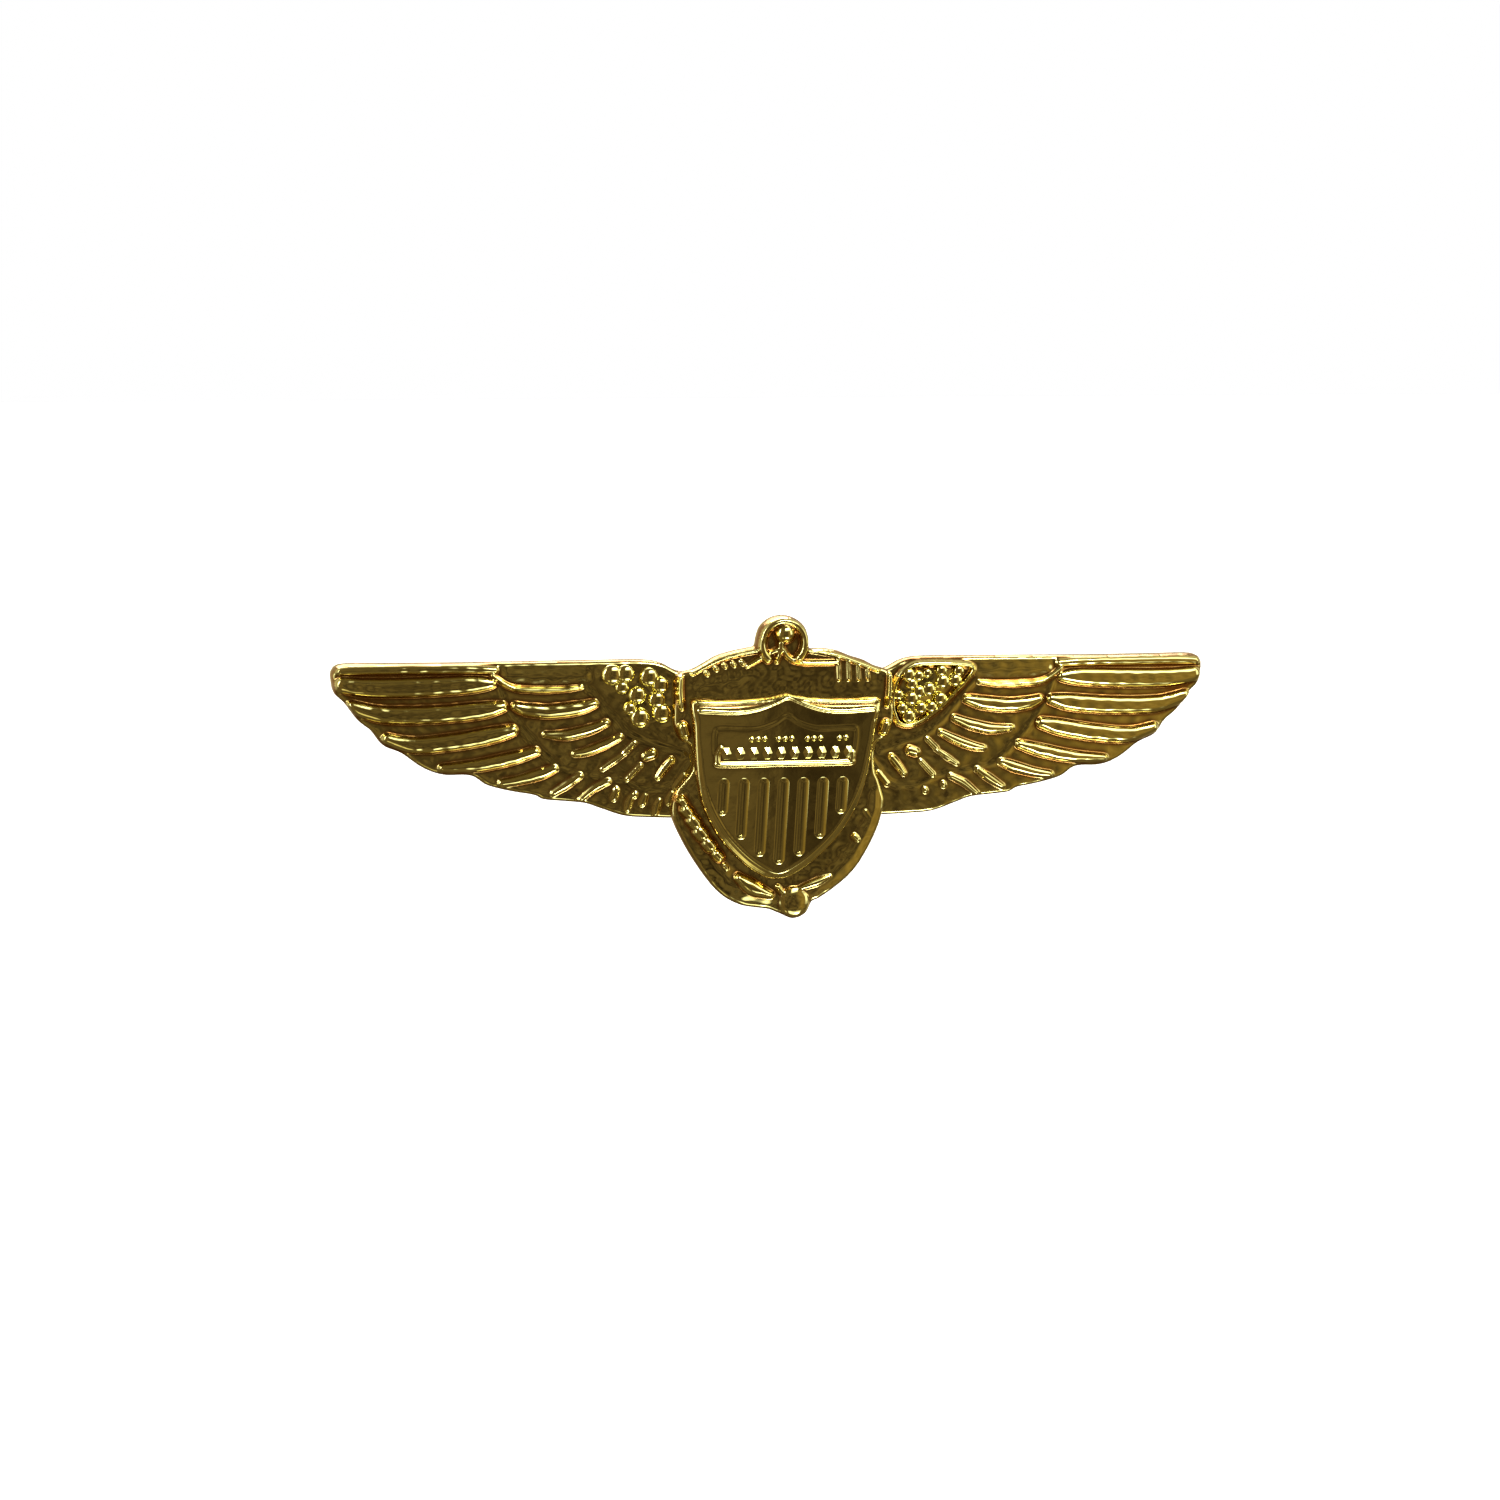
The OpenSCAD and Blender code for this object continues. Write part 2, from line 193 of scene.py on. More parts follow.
ray = node(sky, "ShaderNodeTexCoord")
parts = node(sky, "ShaderNodeSeparateXYZ", inputs={0: ray})
ray_x, ray_y, ray_z = (Wire(sky, parts.socket.node.outputs[k]) for k in range(3))
DEGREES = 180 / math.pi
WHITE = (1.0, 1.0, 1.0, 1.0)   # what the camera sees behind the pin
around = node(sky, "ShaderNodeMath", {"operation": "ARCTAN2"}, {0: ray_x, 1: 0 - ray_y}) * DEGREES
above = node(sky, "ShaderNodeMath", {"operation": "ARCSINE"}, {0: ray_z}) * DEGREES
CLOTHS = [                     # azimuth from, to, softness, elevation from, to, softness, colour
    (-20, 24, 12, -34, 16, 12, (-0.040, -0.030, -0.012)),
    (-62, -28, 10, -40, 40, 12, (0.02, 0.006, 0.0)),
    (30, 56, 9, -34, 34, 12, (0.13, 0.08, 0.015)),
    (-5, 88, 6, 33, 60, 5, (2.3, 2.35, 2.1)),
    (-4, 50, 6, -62, -41, 4, (1.9, 1.9, 1.6)),
    (-50, -28, 5, -60, -46, 4, (0.8, 0.7, 0.4)),
    (57, 86, 5, -8, 28, 6, (1.4, 1.4, 1.2)),
    (-98, -74, 6, -20, 50, 8, (1.2, 1.2, 1.1)),
    (112, 400, 12, -25, 70, 14, (0.42, 0.38, 0.30)),
    (-400, -112, 12, -25, 70, 14, (0.42, 0.38, 0.30))]
tent = (0.117, 0.082, 0.036)
room = noise(sky, ray, 7.0, 3.0, 0.6)
tent = node(sky, "ShaderNodeVectorMath", {"operation": "SCALE"}, {0: tent, 3: 2.8 * room - 0.4})
for a0, a1, a_soft, e0, e1, e_soft, colour in CLOTHS:
    share = window(around, a0, a1, a_soft) * window(above, e0, e1, e_soft)
    sheet = node(sky, "ShaderNodeVectorMath", {"operation": "SCALE"}, {0: colour, 3: share})
    tent = node(sky, "ShaderNodeVectorMath", {"operation": "ADD"}, {0: tent, 1: sheet})
seen = node(sky, "ShaderNodeLightPath")
tone = node(sky, "ShaderNodeMix", {"data_type": "RGBA"}, {0: seen, 6: tent, 7: WHITE}, out=2)
glow = node(sky, "ShaderNodeBackground", inputs={0: tone, 1: 1.0})
node(sky, "ShaderNodeOutputWorld", inputs={0: glow})


SOFTBOXES = {                  # azimuth, elevation, distance, width, height, power
    "key": (28, 55, 0.7, 0.30, 0.12, 2.0),
    "low_right": (30, -50, 0.6, 0.22, 0.08, 0.6),
    "left_strip": (-74, 22, 0.7, 0.06, 0.4, 0.8),
    "rear": (180, 40, 0.8, 0.6, 0.4, 4.0)}
WARM = (1.0, 0.98, 0.95)


def softbox(name, azimuth, elevation, distance, width, height, power):
    """A rectangular light that faces the badge."""
    data = bpy.data.lights.new(name, "AREA")
    data.shape = "RECTANGLE"
    data.size, data.size_y = width, height
    data.energy = power
    data.color = WARM
    lamp = add_object(name, data)
    away = direction(azimuth, elevation)
    lamp.location = away * distance
    lamp.rotation_mode = "QUATERNION"
    lamp.rotation_quaternion = away.to_track_quat("Z", "Y")


for name, setting in SOFTBOXES.items():
    softbox(name, *setting)

# %% [markdown]
# ## Floor
# The pin floats on white, as a shop would cut it out. A pale floor lies far below and starts behind
# the camera's view, and the metal doesn't mirror it.

# %% The floor
FLOOR_DROP = 45.0              # how far the floor lies below the pin
FLOOR_HALF, FLOOR_NEAR, FLOOR_FAR = 0.6, -0.13, 0.9          # its edges, in metres
fz = CAD_LOW.z - FLOOR_DROP * MM
floor_mesh = bpy.data.meshes.new("floor")
corners = ((-1, FLOOR_NEAR), (1, FLOOR_NEAR), (1, FLOOR_FAR), (-1, FLOOR_FAR))
floor_mesh.from_pydata([(way * FLOOR_HALF, y, fz) for way, y in corners], [], [(0, 1, 2, 3)])
floor = add_object("floor", floor_mesh)
pale = bpy.data.materials.new("pale_floor")
pale.use_nodes = True
shade = pale.node_tree.nodes["Principled BSDF"]
# its own glow keeps it white out to its far edge
for socket, value in (("Base Color", (0.93, 0.93, 0.92, 1)), ("Roughness", 0.9),
                      ("Emission Color", WHITE), ("Emission Strength", 0.6)):
    shade.inputs[socket].default_value = value
floor_mesh.materials.append(pale)
floor.visible_glossy = False
bpy.context.scene.view_settings.view_transform = "Standard"

# %% [markdown]
# ## Finishes
# Gilt brass is one metal all over, but it isn't one colour. The struck grooves are painted deep
# brown, partly tarnish and partly painted shade where the light can't reach; tops keep the bright
# gilt, and the plating has a faint ripple.
# Each struck mesh carries an attribute called groove, 1 in the bottom of a groove and 0 on top.

# %% Gilt and brass
CLOUD_SCALE, GRAIN_SCALE = 420.0, 2600.0      # noise waves in a metre: broad patches, fine grain
SCUFF_SCALE = (350.0, 9000.0, 5200.0)         # long one way, so that it draws out into scratches


def metal(name, bright, deep, rough, ripple, scratch, groove=True):
    """Polished plating: bright on top, painted shade and tarnish in grooves. Ripple and scratch in
    metres.
    """
    material = bpy.data.materials.new(name)
    material.use_nodes = True
    tree = material.node_tree
    tree.nodes.clear()
    place = node(tree, "ShaderNodeTexCoord", out=3)
    cloud = noise(tree, place, CLOUD_SCALE, 3.0, 0.55)
    grain = noise(tree, place, GRAIN_SCALE, 2.0, 0.6)
    drawn = node(tree, "ShaderNodeMapping", inputs={
        "Vector": place, "Rotation": (0.2, 0.35, 0.6), "Scale": SCUFF_SCALE})
    scuff = noise(tree, drawn, 1.0, 2.0, 0.5)
    if groove:
        low = node(tree, "ShaderNodeAttribute", {"attribute_name": "groove"}, out=2)
    else:
        low = cloud * 0.4
    # painted shade with some tarnish: the groove mask darkens the gilt in the hollows; a piece
    # without grooves gets only a random tone here
    tarnish_and_shade = low * (0.6 + cloud * 0.8)
    tint = node(tree, "ShaderNodeMix", {"data_type": "RGBA"},
                {0: tarnish_and_shade, 6: (*bright, 1.0), 7: (*deep, 1.0)}, out=2)
    dull = (cloud - 0.35) * 0.12 + low * 0.16 + (grain - 0.5) * 0.05 + rough
    height = cloud * ripple + grain * (ripple * 0.12) + scuff * scratch
    bump = node(tree, "ShaderNodeBump", inputs={
        "Strength": 1.0, "Distance": 1.0, "Height": height})
    surface = node(tree, "ShaderNodeBsdfPrincipled", inputs={
        "Base Color": tint, "Metallic": 1.0, "Roughness": dull, "Normal": bump})
    node(tree, "ShaderNodeOutputMaterial", inputs={0: surface})
    return material


# the deep colour is tarnish, and painted shade where the groove mask lays it into the hollows
GOLD, TARNISH_AND_GROOVE_SHADE = (0.95, 0.87, 0.35), (0.42, 0.21, 0.05)
BRASS, DULL_BRASS = (0.86, 0.68, 0.28), (0.52, 0.36, 0.12)
gilt = metal("gilt", GOLD, TARNISH_AND_GROOVE_SHADE, 0.05, 0.000016, 0.0000012)
gilt_anchor = metal("gilt_anchor", GOLD, TARNISH_AND_GROOVE_SHADE, 0.06, 0.000007, 0.0000010)
gilt_shield = metal("gilt_shield", GOLD, TARNISH_AND_GROOVE_SHADE, 0.04, 0.000016, 0.0000010)
gilt_plain = metal("gilt_plain", GOLD, TARNISH_AND_GROOVE_SHADE, 0.12, 0.000010, 0.0000012, groove=False)
brass = metal("clutch_brass", BRASS, DULL_BRASS, 0.16, 0.000008, 0.000002, groove=False)

# %% [markdown]
# ## Striking a badge
# The real badge is struck: a steel die presses its relief into a flat blank, and a second press
# bows the blank so that it lies on the chest. The same two steps work here. A piece starts as a
# flat outline filled with a fine triangular lattice, a height is worked out at each lattice point
# from the strokes of the die, and the finished mesh is bowed at the end. Sculpting could give the
# relief too, but strokes have sizes that can be changed.

# %% Smooth lines and distances
def smooth(points, per=6, closed=False):
    """A smooth line through the points, which may carry a half width as a third number."""
    p = np.array(points, float)
    n = len(p)
    out = []
    for i in range(n if closed else n - 1):
        if closed:
            a, b, c, d = p[i - 1], p[i], p[(i + 1) % n], p[(i + 2) % n]
        else:
            a, b, c, d = p[max(i - 1, 0)], p[i], p[i + 1], p[min(i + 2, n - 1)]
        for k in range(per):
            t = k / per
            out.append(0.5 * (2 * b + (c - a) * t + (2 * a - 5 * b + 4 * c - d) * t * t
                              + (3 * b - a - 3 * c + d) * t ** 3))
    return np.array(out if closed else out + [p[-1]])


def mirrored(points):
    return [(-p[0], *p[1:]) for p in points]


def even(loop, gap):
    """Points an even gap apart round a closed loop."""
    ring = np.vstack([loop, loop[:1]])
    run = np.concatenate([[0], np.cumsum(np.linalg.norm(np.diff(ring, axis=0), axis=1))])
    at = np.arange(round(run[-1] / gap)) * run[-1] / round(run[-1] / gap)
    return np.stack([np.interp(at, run, ring[:, k]) for k in (0, 1)], axis=1)


def inside(place, loop):
    """Which places lie inside a closed loop."""
    odd = np.zeros(len(place), bool)
    x, z = place.T
    for (x0, z0), (x1, z1) in zip(loop, np.roll(loop, -1, axis=0)):
        if z0 != z1:
            odd ^= ((z0 > z) != (z1 > z)) & (x < x0 + (z - z0) * (x1 - x0) / (z1 - z0))
    return odd


def into(place, line):
    """How far inside a stroke each place lies: its half width there, less the distance."""
    best = np.full(len(place), -9.0)
    for a, b in zip(line[:-1], line[1:]):
        run = b[:2] - a[:2]
        t = np.clip((place - a[:2]) @ run / max(run @ run, 1e-9), 0, 1)
        gap = np.linalg.norm(place - a[:2] - t[:, None] * run, axis=1)
        best = np.maximum(best, a[2] + (b[2] - a[2]) * t - gap)
    return best


def from_loop(place, loop):
    """Distance of each place from a closed loop, more than nothing inside it."""
    ring = [(*p, 0.0) for p in np.vstack([loop, loop[:1]])]
    gap = -into(place, np.array(ring))
    return np.where(inside(place, loop), gap, -gap)

# %% [markdown]
# A stroke is a line with a half width and a cross-section. A feather is a pad: a steep side, a
# broad round shoulder that catches the light, and a top that is a little hollow. A roof slopes on
# to its middle, so that the whole feather shines. A bar is round all over, and a swell is a low
# bulge with soft sides.

# %% The die's cross-sections
def section_table(slopes):
    depth = np.linspace(0, 1.2, 500)
    rise = np.cumsum(np.interp(depth, *np.array(slopes).T)) * (depth[1] - depth[0])
    return depth, rise / rise.max()


PAD_TABLE = section_table([(0, 5), (0.05, 4), (0.1, 1.2), (0.14, 0.56), (0.22, 0.5), (0.36, 0.4),
                           (0.44, 0.14), (0.5, 0), (0.62, -0.12), (0.8, -0.06), (1.2, 0)])
ROOF_TABLE = section_table([(0, 4.5), (0.05, 3.5), (0.1, 1.1), (0.14, 0.55), (0.3, 0.48),
                            (0.55, 0.4), (1.2, 0.3)])


def pad(depth, half, top):
    return top * np.interp(depth, *PAD_TABLE)


def roof(depth, half, top):
    return top * np.interp(depth, *ROOF_TABLE)


def bar(depth, half, top):
    u = np.clip(depth / half, 0, 1)
    return top * np.sqrt(1 - (1 - u) ** 2)


def swell(depth, half, top):
    u = np.clip(depth / half, 0, 1)
    return top * u * u * (3 - 2 * u)


def strike(place, strokes):
    """The height that the strokes of a die leave at each place."""
    height = np.zeros(len(place))
    for section, top, points in strokes:
        line = smooth(points, 5)
        half = line[:, 2].max()
        near = np.all((place > line[:, :2].min(0) - half) & (place < line[:, :2].max(0) + half),
                      axis=1)
        height[near] = np.maximum(height[near], section(into(place[near], line), half, top))
    return height


def ripple(place, size, wave, seed):
    """The unevenness of a worn die: waves of about one length that run every way."""
    chance = np.random.default_rng(seed)
    total = np.zeros(len(place))
    for turn in np.radians(np.arange(0, 180, 20)):
        length = wave * chance.uniform(0.7, 1.5)
        run = place @ np.array([math.cos(turn), math.sin(turn)]) / length
        total += np.sin(2 * math.pi * run + chance.uniform(0, 7))
    return size * total / 3

# %% A mesh from an outline and a height
def lattice(low, high, gap):
    rows = np.arange(low[1], high[1], gap * 0.866)
    cols = np.arange(low[0], high[0], gap)
    x, z = np.meshgrid(cols, rows)
    x = x + (np.arange(len(rows)) % 2)[:, None] * gap / 2
    return np.stack([x.ravel(), z.ravel()], axis=1)


def fill(rim, points):
    """Triangles over everything inside the rim, through all the points."""
    flat = np.vstack([rim, points])
    n = len(rim)
    found = delaunay_2d_cdt([Vector(p) for p in flat.tolist()],
                            [(i, (i + 1) % n) for i in range(n)], [], 1, 1e-7)
    return np.array([list(v) for v in found[0]]), np.array(found[2])


def facing_out(flat, tris, up):
    a, b, c = (flat[tris[:, k]] for k in (0, 1, 2))
    turn = (b[:, 0] - a[:, 0]) * (c[:, 1] - a[:, 1]) - (b[:, 1] - a[:, 1]) * (c[:, 0] - a[:, 0])
    flip = (turn > 0) != up
    tris[flip] = tris[flip][:, ::-1]
    return tris


def bow(points):
    """Bends flat points: x, depth in front of the back, z, all in mm, to places in metres."""
    x, depth, z = points.T
    y = BOW_R - np.sqrt((BOW_R + depth) ** 2 - x ** 2)
    return np.stack([x, y, z], axis=1) * MM


def soften(height, tris, turns):
    """The height with its fine detail averaged away over the mesh."""
    i = np.concatenate([tris[:, k] for k in (0, 1, 2)])
    j = np.concatenate([tris[:, k] for k in (1, 2, 0)])
    n = len(height)
    count = np.bincount(i, minlength=n) + np.bincount(j, minlength=n)
    for _ in range(turns):
        total = (np.bincount(i, height[j], n) + np.bincount(j, height[i], n))
        height = 0.5 * height + 0.5 * total / count
    return height


def new_piece(name, vertices, faces, material):
    mesh = bpy.data.meshes.new(name)
    mesh.from_pydata(vertices.tolist(), [], faces)
    mesh.materials.append(material)
    mesh.shade_smooth()
    return add_object(name, mesh)


RIM_LOW = 0.62                 # share of its depth that a plate keeps at its rounded rim
BACK_GAP = 1.4                 # spacing of the back's points
GROOVE_REACH, GROOVE_DEPTH = 24, 0.07   # rounds of averaging, and how deep a full groove is


def struck(name, outline, depth_at, back, gap, material, fine=None, rough_gap=0.5, edge=0.3):
    """A struck plate. depth_at(places) gives the front's depth, back is the depth of its back."""
    rim = even(outline, gap)
    low, high = rim.min(0), rim.max(0)
    points = lattice(low, high, gap)
    if fine is not None:
        far = lattice(low, high, rough_gap)
        points = np.vstack([points[fine(points)], far[~fine(far)]])
    points = points[inside(points, rim)]
    tree = kdtree.KDTree(len(rim))
    for i, p in enumerate(rim):
        tree.insert((p[0], p[1], 0), i)
    tree.balance()

    def to_rim(places):
        return np.array([tree.find((x, z, 0))[2] for x, z in places])

    front, tris = fill(rim, points[to_rim(points) > gap * 0.6])
    n = len(rim)
    u = np.clip(to_rim(front) / edge, 0, 1)
    tris = facing_out(front, tris, True)
    depth = soften(depth_at(front), tris, 2)
    depth = back + (depth - back) * (RIM_LOW + (1 - RIM_LOW) * np.sqrt(1 - (1 - u) ** 2))
    inner = lattice(low, high, BACK_GAP)
    inner = inner[inside(inner, rim)]
    rear, rear_tris = fill(rim, inner[to_rim(inner) > 0.5])
    rear_tris = facing_out(rear, rear_tris, False) + len(front)
    step = np.arange(n)
    nxt = (step + 1) % n
    clockwise = np.sum(rim[:, 0] * rim[nxt, 1] - rim[nxt, 0] * rim[:, 1]) < 0
    wall = np.stack([step, nxt, nxt + len(front), step + len(front)], axis=1)
    if not clockwise:
        wall = wall[:, ::-1]
    solid = np.vstack([np.stack([front[:, 0], depth, front[:, 1]], axis=1),
                       np.stack([rear[:, 0], np.full(len(rear), back), rear[:, 1]], axis=1)])
    piece = new_piece(name, bow(solid), tris.tolist() + rear_tris.tolist() + wall.tolist(),
                      material)
    mesh = piece.data
    # the groove mask: the gilt is painted darker here, as shade with some tarnish
    cavity = np.zeros(len(solid))
    sunk = soften(depth, tris, GROOVE_REACH) - depth
    cavity[:len(front)] = np.clip(sunk / GROOVE_DEPTH, 0, 1)
    mesh.attributes.new("groove", "FLOAT", "POINT").data.foreach_set("value", cavity)
    ends = np.empty(len(mesh.edges) * 2, int)
    mesh.edges.foreach_get("vertices", ends)
    ends = ends.reshape(-1, 2)
    on_rim = ((ends % len(front)) < n) & (ends < len(front) + n)
    sharp = on_rim.all(axis=1) & ((ends >= len(front)).all(axis=1))
    mesh.attributes.new("sharp_edge", "BOOLEAN", "EDGE").data.foreach_set("value", sharp)
    print(name, len(mesh.polygons), "faces,", len(mesh.vertices), "vertices")
    return piece

# %% [markdown]
# ## The wings
# Both wings are one plate. Each has a long leading band, a row of long feathers that fan out and
# end in a scalloped edge, a second row of shorter feathers, and tufts under a pebbled shoulder. The
# strokes are drawn for the right wing and mirrored. Numbers are x, z and half width, and a
# feather's first number is its height. Only the right shoulder has a rim, and only the left wing
# has a row of tufts at its foot.

# %% The die for a wing
WING_EDGE = [(6.0, 5.0), (8.2, 5.2), (9.6, 5.85), (11.2, 6.1), (15, 6.05), (20, 5.95), (26, 5.8),
             (31, 5.7), (34.1, 5.6), (34.9, 5.1), (34.95, 4.3), (34.7, 3.3), (33.9, 2.5),
             (32.9, 1.2), (31.9, 0.4), (31, -0.7), (29.6, -1.3), (28, -2.4), (26.4, -2.95),
             (24.3, -3.0), (23.0, -3.75), (21.2, -4.2), (19.4, -4.5), (18.6, -4.85),
             (16.8, -5.0), (15.4, -5.15), (14.2, -5.55), (12.3, -6.15), (10, -6.3), (7.5, -6.35),
             (6.0, -6.3)]
LONG_FEATHERS = [
    (0.42, [(22.6, 5.35, 0.30), (25, 5.42, 0.40), (29, 5.36, 0.40), (33.2, 5.2, 0.36),
            (34.4, 5.1, 0.34)]),
    (0.55, [(22.9, 4.3, 0.42), (24.4, 4.22, 0.68), (28, 3.98, 0.74), (32, 3.86, 0.72),
            (34.2, 4.05, 0.62)]),
    (0.55, [(22.0, 2.5, 0.42), (23.6, 2.2, 0.66), (27, 1.86, 0.68), (31, 1.78, 0.66),
            (33.5, 2.35, 0.5)]),
    (0.55, [(21.2, 0.65, 0.45), (22.8, 0.25, 0.64), (25.4, -0.25, 0.66), (28.6, -0.58, 0.62),
            (30.8, -0.1, 0.42)]),
    (0.52, [(19.4, -1.0, 0.36), (21.4, -1.6, 0.5), (24, -2.15, 0.46), (26.6, -2.35, 0.3)])]
WIDE_SHORT = (0.50, [(14.9, 2.75, 0.34), (16.2, 2.4, 0.52), (18.4, 2.15, 0.54), (20.2, 2.3, 0.48),
                     (21, 2.55, 0.34)])
LOW_FEATHERS = [
    (0.60, [(17.9, -2.35, 0.3), (18.9, -2.75, 0.42), (20.6, -3.25, 0.36), (22, -3.5, 0.3)]),
    (0.56, [(15.9, -2.9, 0.24), (16.9, -3.6, 0.32), (18.0, -4.3, 0.24)]),
    (0.54, [(13.7, -3.35, 0.24), (14.8, -3.9, 0.28), (15.9, -4.8, 0.22)])]
SHORT_FEATHERS = [
    (0.62, [(13.9, 1.25, 0.28), (15.3, 0.7, 0.4), (17, 0.3, 0.4), (18.7, 0.35, 0.22)]),
    (0.60, [(12.8, 0.15, 0.24), (14, -0.45, 0.33), (15.4, -1.0, 0.33), (16.4, -1.2, 0.22)]),
    (0.48, [(12.6, -1.3, 0.16), (13.4, -1.85, 0.22), (14.2, -2.4, 0.16)])]
TUFTS = [
    (0.42, [(10.3, -1.2, 0.38), (10.8, -1.4, 0.34)]),
    (0.36, [(11.7, -0.35, 0.2), (12.5, -1.15, 0.22)]),
    (0.42, [(8.8, -1.7, 0.26), (9.3, -2.3, 0.3), (9.85, -3.05, 0.22)]),
    (0.34, [(11.2, -2.1, 0.18), (12.25, -3.2, 0.2)]),
    (0.32, [(7.75, -2.9, 0.2), (8.5, -3.85, 0.22)]),
    (0.32, [(11.6, -4.35, 0.22), (11.65, -4.5, 0.22)]),
    (0.32, [(13.1, -3.95, 0.22), (13.15, -4.1, 0.22)])]
BARE_PATCH = [(15.6, 4.95, 0.75), (18.4, 4.85, 0.85), (21.6, 5.0, 0.72)]
PATCH_LIP = [(15.9, 4.05, 0.14), (17.6, 3.86, 0.2), (19.6, 3.84, 0.22), (21.3, 4.02, 0.2),
             (22.8, 4.95, 0.16)]
ROW_SEAMS = [
    [(22.9, 5.3, 0.35), (22.2, 3.9, 0.42), (21.5, 2.2, 0.45), (20.2, 0.4, 0.5),
     (18.5, -1.5, 0.5), (17.2, -2.5, 0.45), (15.2, -2.95, 0.4), (12.6, -3.35, 0.4),
     (10.9, -4.0, 0.42), (8.9, -3.75, 0.4), (7.3, -2.0, 0.4)],
    [(15.9, 4.5, 0.4), (14.9, 3.4, 0.45), (13.6, 1.8, 0.5), (12.2, 0.4, 0.5),
     (10.4, -0.45, 0.45), (7.9, -1.2, 0.4)]]
SHOULDER_RIM = [(9.3, 1.0, 0.2), (8.85, 2.3, 0.22), (8.95, 3.7, 0.22), (9.5, 4.9, 0.24),
                (10.6, 5.55, 0.26), (12.4, 5.62, 0.24), (14.4, 5.5, 0.24), (15.4, 5.2, 0.2),
                (14.9, 4.3, 0.2), (13.9, 3.3, 0.2), (12.8, 2.2, 0.2), (11.4, 1.25, 0.2),
                (10.2, 0.8, 0.2), (9.3, 1.0, 0.2)]
SHOULDER_BED = [(10.4, 2.2, 1.0), (11.4, 3.6, 1.7), (13.2, 4.6, 1.0)]

LEFT_TUFTS = [(roof, 0.34, [(x, z, 0.2), (x + 0.2, z - 0.5, 0.3), (x + 0.3, z - length, 0.2)])
              for x, z, length in ((7.7, -4.6, 1.3), (8.7, -4.3, 0.8), (9.7, -4.9, 1.1),
                                   (10.8, -4.5, 0.7), (11.9, -4.6, 1.0), (13.0, -4.0, 0.8))]

WING_STROKES = (
    [(pad, top, points) for top, points in [*LONG_FEATHERS, WIDE_SHORT]]
    + [(roof, top, points) for top, points in LOW_FEATHERS + SHORT_FEATHERS]
    + [(roof, top * 1.4, points) for top, points in TUFTS]
    + [(swell, 0.07, points) for points in ROW_SEAMS]
    + [(swell, 0.16, BARE_PATCH), (bar, 0.42, PATCH_LIP),
       (swell, 0.2, SHOULDER_BED)])


def wing_depth(place):
    """Front depth of the wing plate. Both wings share one die, so x is taken without its sign."""
    one = np.stack([np.abs(place[:, 0]), place[:, 1]], axis=1)
    height = strike(one, WING_STROKES)
    for half, strokes in ((place[:, 0] < 0, LEFT_TUFTS),
                          (place[:, 0] > 0, [(bar, 0.5, SHOULDER_RIM)])):
        height[half] = np.maximum(height[half], strike(one[half], strokes))
    return PLATE + height + ripple(place, 0.012, 1.1, SEED)


right_edge = smooth(WING_EDGE, 6)
wing_outline = np.vstack([right_edge, mirrored(right_edge)[::-1]])
wing_outline[:, 0] = np.clip(wing_outline[:, 0], -HALF_SPAN + 0.01, HALF_SPAN - 0.01)
wings = struck("wings", wing_outline, wing_depth, 0.0, 0.09, gilt,
               fine=lambda p: np.abs(p[:, 0]) > 6.9)

# %% [markdown]
# ## The anchor
# The anchor lies on the wing plate and shows above and below the shield: its ring with a ball in
# it, the field of its stock with cords and rope turns, and its arms that meet at the crown's knob.

# %% The die for the anchor
ANCHOR_EDGE = [(8.75, 3), (8.75, 4.6), (8.3, 5.2), (7.2, 5.6), (6.3, 6.05), (5.2, 6.4),
               (4.2, 6.8), (3, 7.0), (1.95, 7.05), (1.8, 7.9), (1.5, 8.75), (0.75, 9.4),
               (-0.25, 9.63), (-1.25, 9.4), (-2.0, 8.75), (-2.3, 7.9), (-2.45, 7.25), (-3, 7.1),
               (-4.2, 6.85), (-5.4, 6.5), (-6.3, 6.0), (-7.2, 5.5), (-8.2, 5.2), (-8.75, 4.7),
               (-8.75, 3), (-8.75, 1.2), (-8.3, 0.0), (-7.4, -0.6), (-7.3, -2.4),
               (-8.5, -4.0), (-8.85, -5.2), (-8.7, -6.4), (-7.5, -8.8), (-5.9, -11.15),
               (-4.7, -12.4), (-3.4, -13.1), (-2.2, -13.35), (-1.1, -13.5), (-0.2, -13.85),
               (0.9, -14.28), (1.9, -13.9), (2.4, -13.0), (3.0, -12.7), (4.0, -12.05),
               (5.2, -11.1), (6.2, -9.95), (7.3, -8.0), (7.9, -6.4), (8.1, -5), (7.7, -3.6),
               (7.3, -2.4), (7.4, -0.6), (8.3, 0.0), (8.75, 1.2)]
RING_X, RING_Z = -0.25, 7.55
RING = [(RING_X + 1.72 * math.sin(a), RING_Z + 1.72 * math.cos(a), 0.36)
        for a in np.radians(np.arange(-135, 136, 15))]
